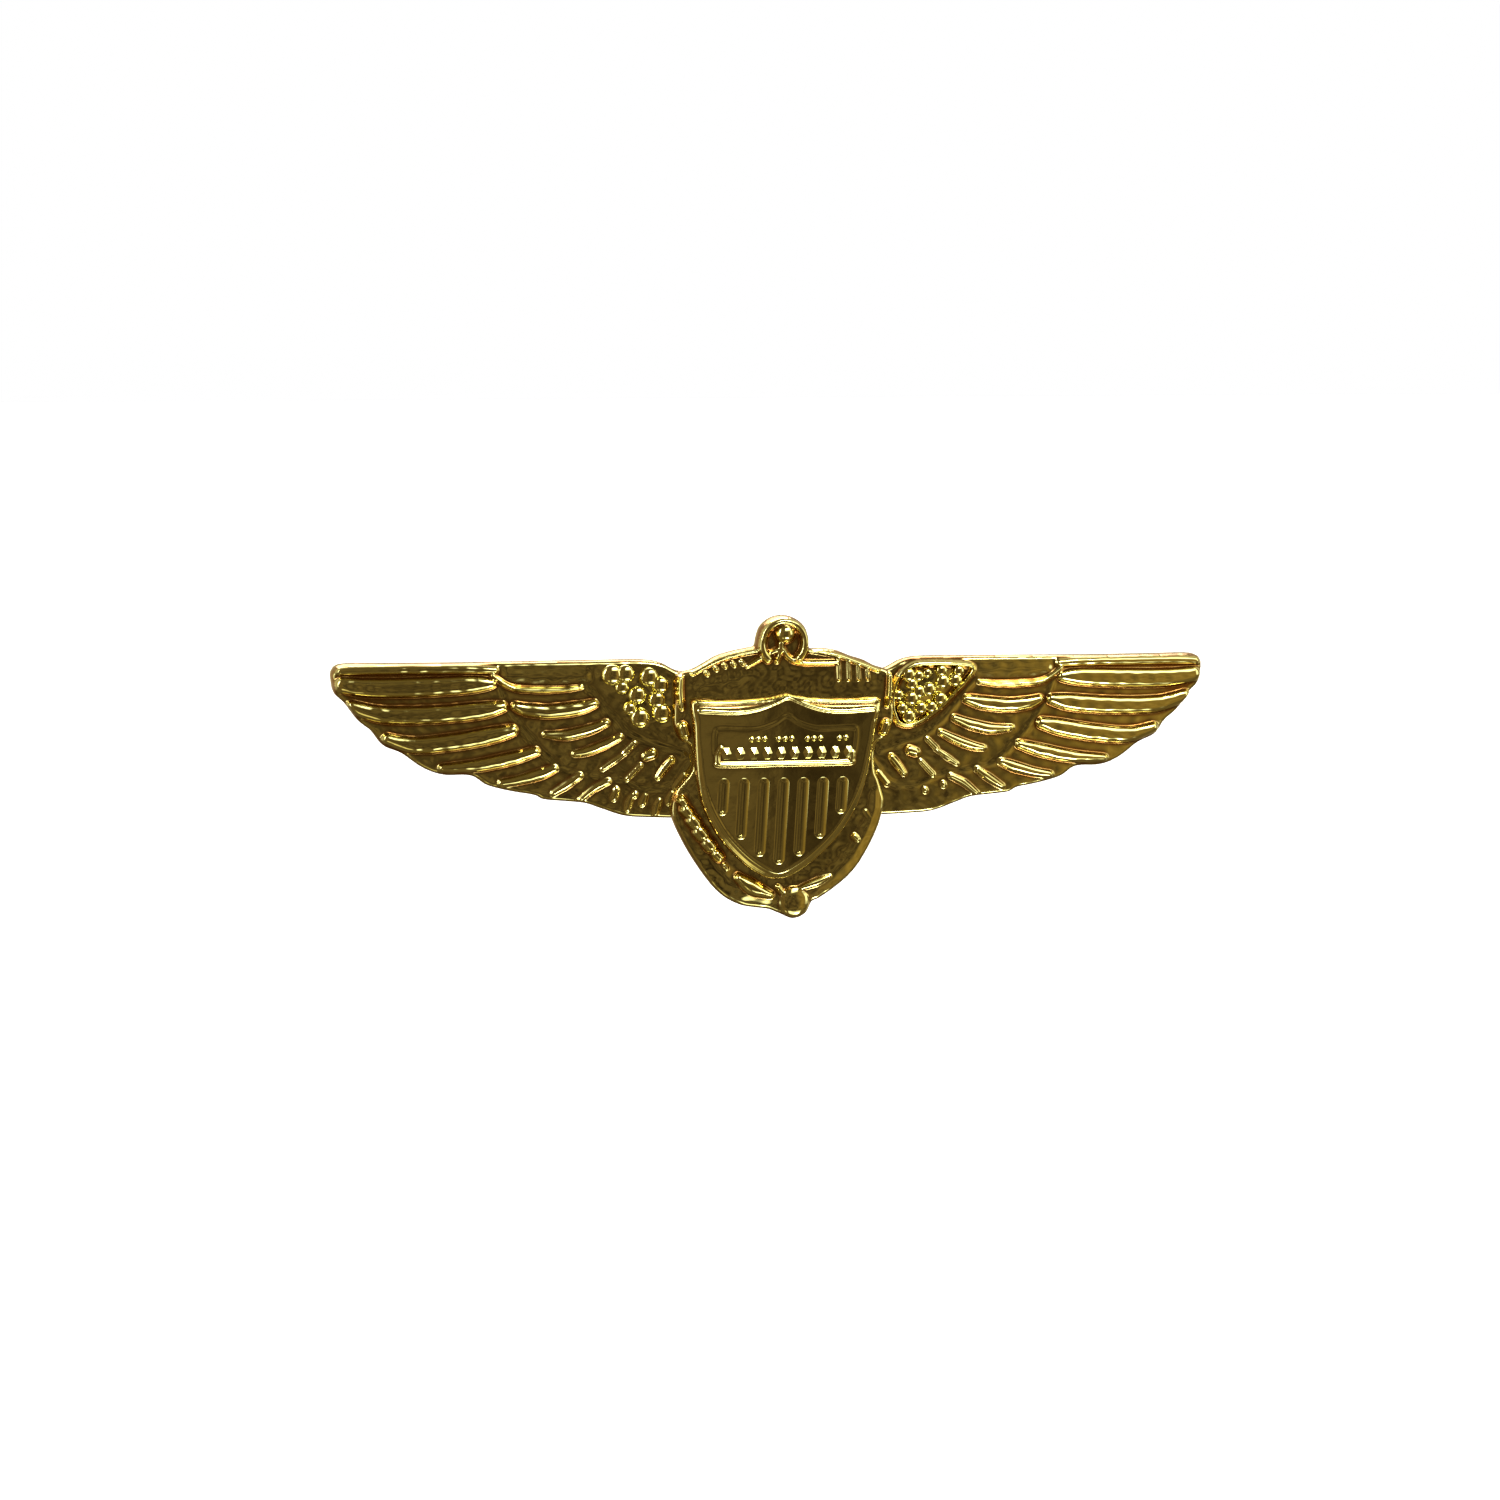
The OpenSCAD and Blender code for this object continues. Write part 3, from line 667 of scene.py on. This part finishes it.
ANCHOR_STROKES = [
    (bar, 0.6, RING),
    (bar, 0.85, [(RING_X + 0.1, 8.3, 0.8), (RING_X + 0.11, 8.31, 0.8)]),
    (bar, 0.42, [(-0.75, 6.1, 0.18), (-0.5, 6.9, 0.24), (-0.45, 7.5, 0.3)]),
    (bar, 0.34, [(-0.3, 7.1, 0.18), (0.25, 6.35, 0.2), (1.3, 5.98, 0.2), (4.1, 5.95, 0.17)]),
    (bar, 0.32, [(-0.7, 7.0, 0.2), (-1.6, 6.6, 0.22), (-3.1, 5.75, 0.15)]),
    (bar, 0.26, [(1.8, 6.9, 0.14), (3.2, 6.7, 0.17), (4.6, 6.35, 0.17), (6.0, 5.8, 0.17),
                 (7.4, 5.3, 0.17)]),
    (bar, 0.26, [(-2.2, 6.95, 0.16), (-4.2, 6.6, 0.18), (-5.9, 6.0, 0.18), (-7.4, 5.2, 0.17)]),
    (swell, 0.08, [(-6.8, 4.2, 0.7), (-4.6, 4.5, 0.9), (-3.4, 4.9, 0.8)])]
ANCHOR_STROKES += [(roof, 0.5, [(x, z, 0.16), (x + 0.08, 4.6, 0.14)])
                   for x, z in ((4.15, 6.2), (4.95, 6.1), (5.75, 5.7), (6.5, 5.3))]
ANCHOR_STROKES += [(roof, 0.5, [(x, z, 0.17), (x + 0.2, z - 0.2, 0.14)])
                   for x, z in ((-6.4, 5.3), (-5.7, 5.7), (-5.0, 5.9), (-4.3, 6.0), (-3.6, 6.1))]
for side in (-1, 1):
    ANCHOR_STROKES += [
        (bar, 0.5, [(side * 8.35, 4.9, 0.22), (side * 8.35, 3.6, 0.24), (side * 8.2, 2.5, 0.2)]),
        (bar, 0.5, [(side * 8.1, 1.0, 0.42), (side * 7.95, 0.5, 0.42)])]
LEFT_ARM = [(-8.05, -4.3, 0.55), (-7.9, -5.6, 0.8), (-6.9, -7.7, 0.95), (-5.5, -9.8, 1.05),
            (-3.7, -11.6, 1.15), (-1.6, -12.45, 0.9), (0.0, -12.6, 0.6)]
RIGHT_ARM = [(7.35, -4.3, 0.5), (7.2, -6.0, 0.75), (6.3, -8.1, 0.85), (4.9, -10.1, 0.95),
             (3.2, -11.5, 1.0), (1.6, -12.2, 0.8)]
ANCHOR_STROKES += [
    (swell, 0.22, LEFT_ARM), (swell, 0.16, RIGHT_ARM),
    (bar, 0.5, [(0.9, -12.9, 1.22), (0.92, -12.92, 1.22)]),
    *((bar, 0.8, [(x, z, half), (x + 0.25, z - 0.3, half)]) for x, z, half in (
        (-8.2, -4.7, 0.34), (-7.85, -5.45, 0.46), (-7.3, -6.3, 0.52), (-6.75, -7.2, 0.56),
        (-6.1, -8.1, 0.52), (-5.4, -8.95, 0.42))),
    (bar, 0.7, [(-3.6, -10.9, 0.36), (-2.5, -11.7, 0.6), (-1.0, -12.3, 0.3)]),
    *((roof, 0.6, points) for points in (
        [(5.7, -7.8, 0.24), (5.95, -8.05, 0.24)],
        [(-4.75, -9.9, 0.2), (-4.5, -10.2, 0.2)],
        [(3.8, -10.9, 0.16), (2.7, -11.4, 0.34), (1.2, -11.9, 0.2)],
        [(-0.4, -11.7, 0.2), (0.0, -12.2, 0.22)])),
    (swell, 0.14, [(5.2, -9.2, 0.35), (6.2, -8.6, 0.3)]),
    (swell, 0.14, [(6.6, -5.9, 0.35), (7.0, -6.6, 0.35), (6.4, -7.1, 0.3)])]


def anchor_depth(place):
    return ANCHOR_FRONT + strike(place, ANCHOR_STROKES) + ripple(place, 0.010, 1.0, SEED + 1)


SHIELD_SIDE = [(0.0, 3.7), (0.9, 3.5), (2.6, 3.25), (5.2, 3.2), (7.35, 3.25), (7.55, 2.4),
               (7.3, 1.2), (7.1, -0.8), (6.75, -3.2), (6.1, -5.4), (4.75, -7.7), (2.8, -9.7),
               (1.2, -10.75), (0.4, -10.98)]
side = smooth(SHIELD_SIDE, 6)
shield_outline = np.vstack([side, [(0, -11.0)], mirrored(side[1:])[::-1]])
anchor_outline = smooth(ANCHOR_EDGE, 6, closed=True)
anchor = struck("anchor_badge", anchor_outline, anchor_depth, PLATE - LAP, 0.075, gilt_anchor,
                fine=lambda p: from_loop(p, shield_outline) < 0.4)

# %% [markdown]
# ## The shield
# The shield is a flat face with a sloping border. Its top border is wide and rolls forward to a
# lip; its sides are narrow. A thin line is raised round the face.

# %% The die for the shield
LEAN = 0.045                   # the shield leans: its foot is off to the left


def leaned(points):
    return [(p[0] + LEAN * (p[1] - 3), *p[1:]) for p in points]


FACE_SIDE = [(0.0, 3.42), (0.8, 3.1), (1.8, 2.7), (2.9, 2.42), (4.4, 2.3), (6.95, 2.45),
             (6.95, 1.2), (6.7, -0.8), (6.3, -3.1), (5.6, -5.1), (4.3, -7.2), (2.55, -9.0),
             (1.0, -10.1), (0.3, -10.4)]
face_side = smooth(FACE_SIDE, 6)
face_outline = np.array(leaned(face_side.tolist() + [(0, -10.45)]
                               + mirrored(face_side[1:])[::-1]))
TOP_LIP = [(-7.2, 3.05, 0.2), (-5.2, 3.0, 0.17), (-2.6, 3.06, 0.15), (-0.9, 3.32, 0.14),
           (0, 3.54, 0.14), (0.9, 3.32, 0.14), (2.6, 3.06, 0.16), (5.2, 3.0, 0.2),
           (7.2, 3.05, 0.22)]
FOOT_LINE = leaned([(-6.2, -3.6, 0.08), (-5.6, -5.2, 0.13), (-4.3, -7.3, 0.15), (-2.55, -9.1, 0.16),
                    (-1.0, -10.15, 0.16), (0, -10.5, 0.16), (1.0, -10.15, 0.15),
                    (2.55, -9.1, 0.13), (4.3, -7.3, 0.12), (5.6, -5.2, 0.12), (6.35, -3.1, 0.12),
                    (6.75, -0.8, 0.12), (7.0, 1.4, 0.12)])
HEAD_LINE = leaned([(-6.95, 2.4, 0.16), (-4.4, 2.3, 0.18), (-2.9, 2.42, 0.16), (-1.8, 2.7, 0.15),
                    (-0.8, 3.1, 0.14), (0, 3.4, 0.14), (0.8, 3.1, 0.14), (1.8, 2.7, 0.15),
                    (2.9, 2.42, 0.17), (4.4, 2.3, 0.18), (6.95, 2.4, 0.16)])
PANEL_FOOT = [(-5.1, -0.5, 0.13), (-5.35, -1.0, 0.15), (-5.3, -1.65, 0.17), (-4.9, -1.85, 0.17),
              (0, -1.83, 0.15), (4.9, -1.8, 0.17), (5.35, -1.6, 0.17), (5.4, -1.0, 0.15)]
PANEL_HALF = [(-5.6, -1.0, 0.2), (-5.65, 0.6, 0.22), (-5.2, 0.95, 0.22), (-2.6, 0.9, 0.22),
              (-1.0, 1.35, 0.2)]
PANEL_HEAD = PANEL_HALF + [(0, 1.95, 0.2)] + mirrored(PANEL_HALF[::-1])
BORDER_SLOPE, BORDER_CURL = 0.62, 0.12        # how the face falls away outside its thin line


def shield_depth(place):
    gap = from_loop(place, face_outline)
    fall = np.clip(-gap, 0, 2)
    depth = SHIELD_FACE - BORDER_SLOPE * fall + BORDER_CURL * fall ** 2
    raised = strike(place, [(bar, 0.07, FOOT_LINE), (bar, 0.14, HEAD_LINE), (bar, 0.3, TOP_LIP),
                            (bar, 0.2, leaned(PANEL_FOOT)), (swell, 0.03, leaned(PANEL_HEAD))])
    return depth + raised + ripple(place, 0.0022, 1.6, SEED + 2)


shield_outline = np.array(leaned(shield_outline))
shield = struck("shield_badge", shield_outline, shield_depth, ANCHOR_FRONT - LAP, 0.08,
                gilt_shield, edge=0.2)

# %% [markdown]
# ## Stripes, beads and pearls
# What repeats is grown by Geometry Nodes: seven stripes whose length follows the shield's edge, two
# rows of beads in its panel, and the pearls of the shoulders. Each tree has named sizes, works on
# the flat badge, and ends as one plain mesh that is bowed like the rest.

# %% Helpers for Geometry Nodes
def start_tree(name, sizes, takes_mesh=False):
    """A tree with one input for each size. Returns the tree and its inputs as wires."""
    tree = bpy.data.node_groups.new(name, "GeometryNodeTree")
    tree.interface.new_socket("Geometry", in_out="OUTPUT", socket_type="NodeSocketGeometry")
    if takes_mesh:
        tree.interface.new_socket("Geometry", in_out="INPUT", socket_type="NodeSocketGeometry")
    kinds = {int: "NodeSocketInt", float: "NodeSocketFloat", tuple: "NodeSocketVector"}
    for label, value in sizes.items():
        socket = tree.interface.new_socket(label, in_out="INPUT", socket_type=kinds[type(value)])
        socket.default_value = value
    entry = tree.nodes.new("NodeGroupInput")
    return tree, {o.name: Wire(tree, o) for o in entry.outputs if o.name}


def end_tree(tree, geometry, material):
    real = node(tree, "GeometryNodeRealizeInstances", inputs={0: geometry})
    finished = node(tree, "GeometryNodeSetMaterial", inputs={0: real, "Material": material})
    node(tree, "NodeGroupOutput", inputs={0: finished})


def grow(name, tree, sizes, start=None, flat_sides=False):
    """Runs a tree once, keeps its result as a plain mesh, and bows it."""
    maker = add_object(name, start or bpy.data.meshes.new(name + "_start"))
    modifier = maker.modifiers.new("grow", "NODES")
    modifier.node_group = tree
    for item in tree.interface.items_tree:
        if item.in_out == "INPUT" and item.name in sizes:
            modifier[item.identifier] = sizes[item.name]
    ready = maker.evaluated_get(bpy.context.evaluated_depsgraph_get())
    mesh = bpy.data.meshes.new_from_object(ready)
    bpy.data.objects.remove(maker)
    flat = np.empty(len(mesh.vertices) * 3)
    mesh.vertices.foreach_get("co", flat)
    mesh.vertices.foreach_set("co", bow(flat.reshape(-1, 3) * (1, -1, 1)).ravel())
    mesh.shade_flat() if flat_sides else mesh.shade_smooth()
    print(name, len(mesh.polygons), "faces")
    return add_object(name, mesh)

# %% [markdown]
# A stripe is a ball cut at its equator, with the lower half pulled down to the stripe's foot. It is
# sunk so that only a low round back shows.

# %% The stripes
FACE_REACH = 7.6               # the shield's half width at its top
STRIPES = {"Count": 7, "Pitch": 1.58, "Half Width": 0.56, "Half Height": 0.155, "Head": -3.4,
           "Foot": -9.3, "Rise": 8.5, "Power": 1.64, "Depth": 2.97, "Tear": 0.22}
tree, size = start_tree("stripes", STRIPES)
first = node(tree, "ShaderNodeCombineXYZ",
             inputs={0: (size["Count"] - 1) * size["Pitch"] * -0.5, 1: 0 - size["Depth"]})
step = node(tree, "ShaderNodeCombineXYZ", inputs={0: size["Pitch"]})
lanes = node(tree, "GeometryNodeMeshLine", {"mode": "OFFSET", "count_mode": "TOTAL"},
             {"Count": size["Count"], "Start Location": first, "Offset": step})
place = node(tree, "GeometryNodeInputPosition")
across = node(tree, "ShaderNodeSeparateXYZ", inputs={0: place})
lanes = node(tree, "GeometryNodeStoreNamedAttribute", {"data_type": "FLOAT", "domain": "POINT"},
             {"Geometry": lanes, "Name": "lane", "Value": across})
ball = node(tree, "GeometryNodeMeshUVSphere", inputs={"Segments": 32, "Rings": 17, "Radius": 1.0})
scale = node(tree, "ShaderNodeCombineXYZ",
             inputs={0: size["Half Width"], 1: size["Half Height"], 2: size["Half Width"]})
balls = node(tree, "GeometryNodeInstanceOnPoints",
             inputs={"Points": lanes, "Instance": ball, "Scale": scale})
balls = node(tree, "GeometryNodeRealizeInstances", inputs={0: balls})
lane = node(tree, "GeometryNodeInputNamedAttribute", {"data_type": "FLOAT"}, {"Name": "lane"})
upright = node(tree, "ShaderNodeSeparateXYZ", inputs={0: place}, out=2)
share = node(tree, "ShaderNodeMath", {"operation": "ABSOLUTE"}, {0: lane * (1 / FACE_REACH)})
share = node(tree, "ShaderNodeMath", {"operation": "POWER"}, {0: share, 1: size["Power"]})
foot = size["Foot"] + size["Rise"] * share
lower = node(tree, "ShaderNodeMath", {"operation": "LESS_THAN"}, {0: upright, 1: 0.0})
down = size["Head"] + lower * (foot - size["Head"])
lean_by = (upright + down - 3) * LEAN
move = node(tree, "ShaderNodeCombineXYZ", inputs={0: lean_by, 2: down})
balls = node(tree, "GeometryNodeSetPosition", inputs={"Geometry": balls, "Offset": move})
tear = node(tree, "GeometryNodeMeshCone", inputs={"Vertices": 8, "Radius Top": 0.0, "Depth": 1.0})
tear = node(tree, "GeometryNodeTransform", inputs={0: tear, "Rotation": (math.pi / 2, 0.0, 0.0)})
tear_z = foot - size["Tear"]
at = node(tree, "ShaderNodeCombineXYZ", inputs={0: (tear_z - 3) * LEAN, 1: -0.05, 2: tear_z})
tips = node(tree, "GeometryNodeSetPosition", inputs={"Geometry": lanes, "Offset": at})
tears = node(tree, "GeometryNodeInstanceOnPoints",
             inputs={"Points": tips, "Instance": tear, "Scale": size["Tear"]})
joined = tree.nodes.new("GeometryNodeJoinGeometry")
for part in (tears, balls):
    tree.links.new(part.socket, joined.inputs[0])
end_tree(tree, Wire(tree, joined.outputs[0]), gilt_shield)
stripes = grow("shield_stripes", tree, STRIPES)

# %% [markdown]
# A row of beads is a line with a small six-sided cone at each of its points. Flat sides flash where
# a ball would only show a ring.

# %% The beads
BEADS = {"Count": 10, "Start": (-4.85, -3.04, -1.0), "End": (4.9, -3.04, -0.98),
         "Bead": (0.43, 0.27, 0.54)}
tree, size = start_tree("beads", BEADS)
line = node(tree, "GeometryNodeCurvePrimitiveLine",
            inputs={"Start": size["Start"], "End": size["End"]})
points = node(tree, "GeometryNodeResampleCurve", inputs={"Curve": line, "Count": size["Count"]})
cone = node(tree, "GeometryNodeMeshCone",
            inputs={"Vertices": 6, "Side Segments": 3, "Radius Top": 0.0, "Depth": 1.0})
cone = node(tree, "GeometryNodeTransform", inputs={0: cone, "Rotation": (math.pi / 2, 0.0, 0.0)})
row = node(tree, "GeometryNodeInstanceOnPoints",
           inputs={"Points": points, "Instance": cone, "Scale": size["Bead"]})
end_tree(tree, row, gilt_shield)
lower_beads = grow("lower_beads", tree, BEADS, flat_sides=True)
UPPER_GROUPS = ((-2.35, 3), (-0.2, 3), (2.1, 3), (4.4, 2))     # middle, and how many beads
UPPER_STEP = 0.26              # half the distance between two beads
upper_beads = []
for k, (middle, count) in enumerate(UPPER_GROUPS):
    reach = UPPER_STEP * (count - 1)
    upper_beads.append(grow(f"upper_beads_{k + 1}", tree, {
        "Count": count, "Start": (middle - reach, -3.02, 0.12),
        "End": (middle + reach, -3.02, 0.16), "Bead": (0.28, 0.2, 0.28)}))

# %% [markdown]
# The shoulder of each wing is covered in pearls, low and rather flat. They are scattered by a
# Poisson disc with a fixed seed, so that no two overlap much, and each has its own size. Those of
# the right wing are finer.

# %% The pearls
PATCH = [(9.5, 1.7), (9.2, 3.3), (9.7, 4.6), (10.9, 5.15), (13.9, 5.1), (14.7, 4.9), (13.4, 3.5),
         (12.2, 2.2), (11.0, 1.4), (10.1, 1.2)]
PEARLS = {"Gap": 1.0, "Density": 9.0, "Small": 0.46, "Large": 0.82, "Seed": SEED}
tree, size = start_tree("pearls", PEARLS, takes_mesh=True)
spots = node(tree, "GeometryNodeDistributePointsOnFaces", {"distribute_method": "POISSON"},
             {"Mesh": size["Geometry"], "Distance Min": size["Gap"],
              "Density Max": size["Density"], "Seed": size["Seed"]})
pearl = node(tree, "GeometryNodeMeshIcoSphere", inputs={"Radius": 1.0, "Subdivisions": 3})
pearl = node(tree, "GeometryNodeTransform", inputs={0: pearl, "Scale": (1.0, 0.62, 1.0)})
radius = node(tree, "FunctionNodeRandomValue", {"data_type": "FLOAT"},
              {2: size["Small"], 3: size["Large"], "Seed": size["Seed"]}, out=1)
pearls = node(tree, "GeometryNodeInstanceOnPoints",
              inputs={"Points": spots, "Instance": pearl, "Scale": radius})
end_tree(tree, pearls, gilt)
pearls = []
for word, sign, finer in (("left", -1, 1.0), ("right", 1, 0.72)):
    patch = bpy.data.meshes.new(f"{word}_patch")
    patch.from_pydata([(sign * x, -1.38, z) for x, z in PATCH], [], [range(len(PATCH))[::-sign]])
    pearls.append(grow(f"{word}_shoulder_pearls", tree, PEARLS | {
        key: PEARLS[key] * finer for key in ("Gap", "Small", "Large")}, patch))

# %% [markdown]
# ## The clutches
# A butterfly clutch is three things: a dished disc of brass, a spring strip held on it by two
# folded ears, and the strip's finger wings. Each wing stands up from a bend in the strip, and a
# tongue cut from it crosses the post and grips its waist. All of it is bent sheet, so one helper
# sweeps a rounded sheet edge along a line, and another makes a sloping tongue round its hole. The
# bend crosses the hinge; it is made as a piece of its own and rides on neither body. The strip's
# flat middle and the posts stay as the design has them.

# %% Bent sheet
SHEET = 0.3                    # thickness of the spring
EDGE_ROUND = [(0.13, 1), (0.04, 0.72), (0, 0), (0.04, -0.72), (0.13, -1)]


def bands(n, rings, count):
    """Faces of the first count bands between rings of n points. After the last comes the first."""
    return [(k * n + i, k * n + (i + 1) % n, (k + 1) % rings * n + (i + 1) % n,
             (k + 1) % rings * n + i) for k in range(count) for i in range(n)]


def bent_sheet(line, halves, per=6):
    """A sheet swept along a line of (u, h) with a half width at each point. Returns (u, w, h)."""
    path = smooth([(*p, half) for p, half in zip(line, halves)], per)
    run = np.gradient(path[:, :2], axis=0)
    run /= np.linalg.norm(run, axis=1)[:, None]
    normal = np.stack([-run[:, 1], run[:, 0]], axis=1)
    ring = EDGE_ROUND + EDGE_ROUND[::-1]
    sign = [1] * len(EDGE_ROUND) + [-1] * len(EDGE_ROUND)
    verts = []
    for k, (at, away) in enumerate(zip(path, normal)):
        thin = 0.55 if k in (0, len(path) - 1) else 1.0
        for (inset, share), s in zip(ring, sign):
            u, high = at[:2] + away * share * thin * SHEET / 2
            verts.append((u, s * (at[2] - inset), high))
    n = len(ring)
    faces = bands(n, len(path), len(path) - 1)
    faces += [tuple(range(n)), tuple(range(len(verts) - n, len(verts)))]
    return np.array(verts), faces


def ring_stack(rings):
    """A closed band through rings that have the same number of points."""
    return np.vstack(rings), bands(len(rings[0]), len(rings), len(rings))


def together(*parts):
    """One mesh out of several: their points in one list, their faces moved along to match."""
    verts, faces, done = [], [], 0
    for points, sides in parts:
        verts.append(points)
        faces += [tuple(i + done for i in f) for f in sides]
        done += len(points)
    return np.vstack(verts), faces


def on_clutch(name, node_name, mirror, part):
    """Stands (u, w, h) on the clutch's disc, u away from the post, h away from the badge."""
    low, high = box_mm(node_name)
    u, w, height = part[0].T
    world_mm = np.stack([(low[0] + high[0]) / 2 + mirror * u, low[1] + height, w], axis=1)
    piece = new_piece(name, world_mm * MM, part[1], brass)
    shell = bmesh.new()
    shell.from_mesh(piece.data)
    bmesh.ops.recalc_face_normals(shell, faces=shell.faces)
    shell.to_mesh(piece.data)
    shell.free()
    return piece

# %% Discs, wings, tongues and bends
base_low, base_high = box_mm("left_clutch_base")
wing_low, wing_high = box_mm("left_clutch_outer_wing")
DISC_R = (base_high[0] - base_low[0]) / 2
FLOOR_H, RIM_H = 0.4, 0.95     # heights above the disc's front
BEND_U, BEND_H = 3.98, 0.95    # where a wing stands up from the strip
TOP_H = wing_high[1] - base_low[1]
WING_U = (base_low[0] + base_high[0]) / 2 - wing_low[0]      # how far a wing's tip reaches
DISC = [(0.86, 0.44), (0.87, 0.66), (0.98, 0.72), (1.25, 0.70), (1.7, 0.52), (2.1, FLOOR_H),
        (3.4, FLOOR_H), (DISC_R - 0.55, FLOOR_H), (DISC_R - 0.38, 0.5), (DISC_R - 0.34, 0.82),
        (DISC_R - 0.27, 0.93), (DISC_R - 0.16, RIM_H), (DISC_R - 0.04, 0.88), (DISC_R, 0.74),
        (DISC_R, 0.2), (DISC_R - 0.08, 0.05), (DISC_R - 0.3, 0.0), (3.0, 0.0), (1.75, 0.0),
        (1.3, 0.16)]
EARS = [(2.9, 0.2), (2.9, 0.62), (2.87, 0.80), (2.74, 0.895), (2.5, 0.905), (2.22, 0.905)]
turns = np.radians(np.arange(0, 360, 3.75))
disc = ring_stack([np.stack([r * np.cos(turns), r * np.sin(turns), np.full(len(turns), up)],
                            axis=1) for r, up in smooth(DISC, 3, closed=True)])
ears = []
for sign in (1, -1):
    points, faces = bent_sheet(EARS, [1.2, 1.2, 1.2, 1.2, 1.15, 0.95], 4)
    ears.append((points[:, [1, 0, 2]] * (1, sign, 1), faces))
TALL = TOP_H - BEND_H
LEANS = WING_U - BEND_U - SHEET / 2
BLADE = [(BEND_U + out * LEANS, BEND_H + up * TALL) for out, up in (
    (0, 0), (0.02, 0.16), (0.17, 0.38), (0.40, 0.62), (0.66, 0.82), (0.85, 0.92))]
BLADE.append((BEND_U + 0.96 * LEANS, TOP_H - SHEET / 2 - 0.04))
ROOT_HALF = 2.1                # half width of the spring at its bend
BLADE_HALVES = [ROOT_HALF, 2.15, 2.95, 3.1, 3.05, 2.75, 2.0]
STRIP_H = 0.55                 # middle of the strip's thickness, above the disc's front
BEND = [(BEND_U - 0.6, STRIP_H), (BEND_U - 0.25, STRIP_H), (BEND_U - 0.07, 0.61), (BEND_U, 0.78),
        (BEND_U, BEND_H + 0.1)]
SLOPE = math.tan(math.radians(14))
HOLE_U, HOLE_R, TONGUE_END, TONGUE_HALF = 0.15, 0.8, -1.3, 1.5
TONGUE_STEP = {"inner": 0.0, "outer": 1.107}   # the outer tongue crosses over the inner


def tongue(step):
    """A sloping tongue with a hole for the post, as one band from the hole out and back."""
    start = BEND_U + 0.12 * step
    box = [(start, -TONGUE_HALF), (start, TONGUE_HALF), (TONGUE_END + 0.5, TONGUE_HALF),
           (TONGUE_END + 0.1, TONGUE_HALF - 0.35), (TONGUE_END, 0.8), (TONGUE_END, -0.8),
           (TONGUE_END + 0.1, 0.35 - TONGUE_HALF), (TONGUE_END + 0.5, -TONGUE_HALF)]
    edge = even(np.array(box), 0.15)
    ways = edge - (HOLE_U, 0)
    ways /= np.linalg.norm(ways, axis=1)[:, None]
    rings = []
    for outer, inset, share in ((0, 0.04, 1), (0, 0.0, 0.6), (0, 0.0, -0.6), (0, 0.04, -1),
                                (1, 0.05, -1), (1, 0.0, -0.5), (1, 0.0, 0.5), (1, 0.05, 1)):
        flat = edge - ways * inset if outer else (HOLE_U, 0) + ways * (HOLE_R + inset)
        high = BEND_H + step + (BEND_U - flat[:, 0]) * SLOPE + share * SHEET / 2
        rings.append(np.stack([flat[:, 0], flat[:, 1], high], axis=1))
    return ring_stack(rings)


clutch_pieces = []             # piece, body, the CAD node it replaces, slot
for word, sign in (("left", -1), ("right", 1)):
    base_node = f"{word}_clutch_base"
    low, high = box_mm(base_node)
    middle = (low[0] + high[0]) / 2
    dish = on_clutch(f"{word}_disc", base_node, 1, together(disc, *ears))
    clutch_pieces.append((dish, f"{word}_clutch", base_node, "clutch_brass"))
    for kind, mirror in (("inner", -sign), ("outer", sign)):
        blade = together(bent_sheet(BLADE, BLADE_HALVES), tongue(TONGUE_STEP[kind]))
        wing = on_clutch(f"{word}_{kind}_finger_wing", base_node, mirror, blade)
        clutch_pieces.append((wing, f"{word}_{kind}_wing", f"{word}_clutch_{kind}_wing",
                              "spring_brass"))
        bend = on_clutch(f"{word}_{kind}_bend", base_node, mirror,
                         bent_sheet(BEND, [ROOT_HALF] * len(BEND)))
        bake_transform(bend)

# %% [markdown]
# ## Handing over
# Each piece rides on the CAD body it belongs to, and the CAD node that it stands for is hidden.

# %% Riding and replacing
badge_pieces = [(piece, "badge", cad_node, slot) for group, cad_node, slot in (
    ((wings, *pearls), "wing_plate", "gilt_wings"),
    ((anchor,), "anchor", "gilt_anchor"),
    ((shield, stripes, lower_beads, *upper_beads), "shield", "gilt_shield")) for piece in group]
for piece, body, cad_node, slot in badge_pieces + clutch_pieces:
    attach(piece, body)
    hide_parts(cad_node)
for name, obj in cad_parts.items():
    if "clutch" in name or "post" in name:
        for slot in obj.material_slots:
            slot.material = brass if "clutch" in name else gilt_plain
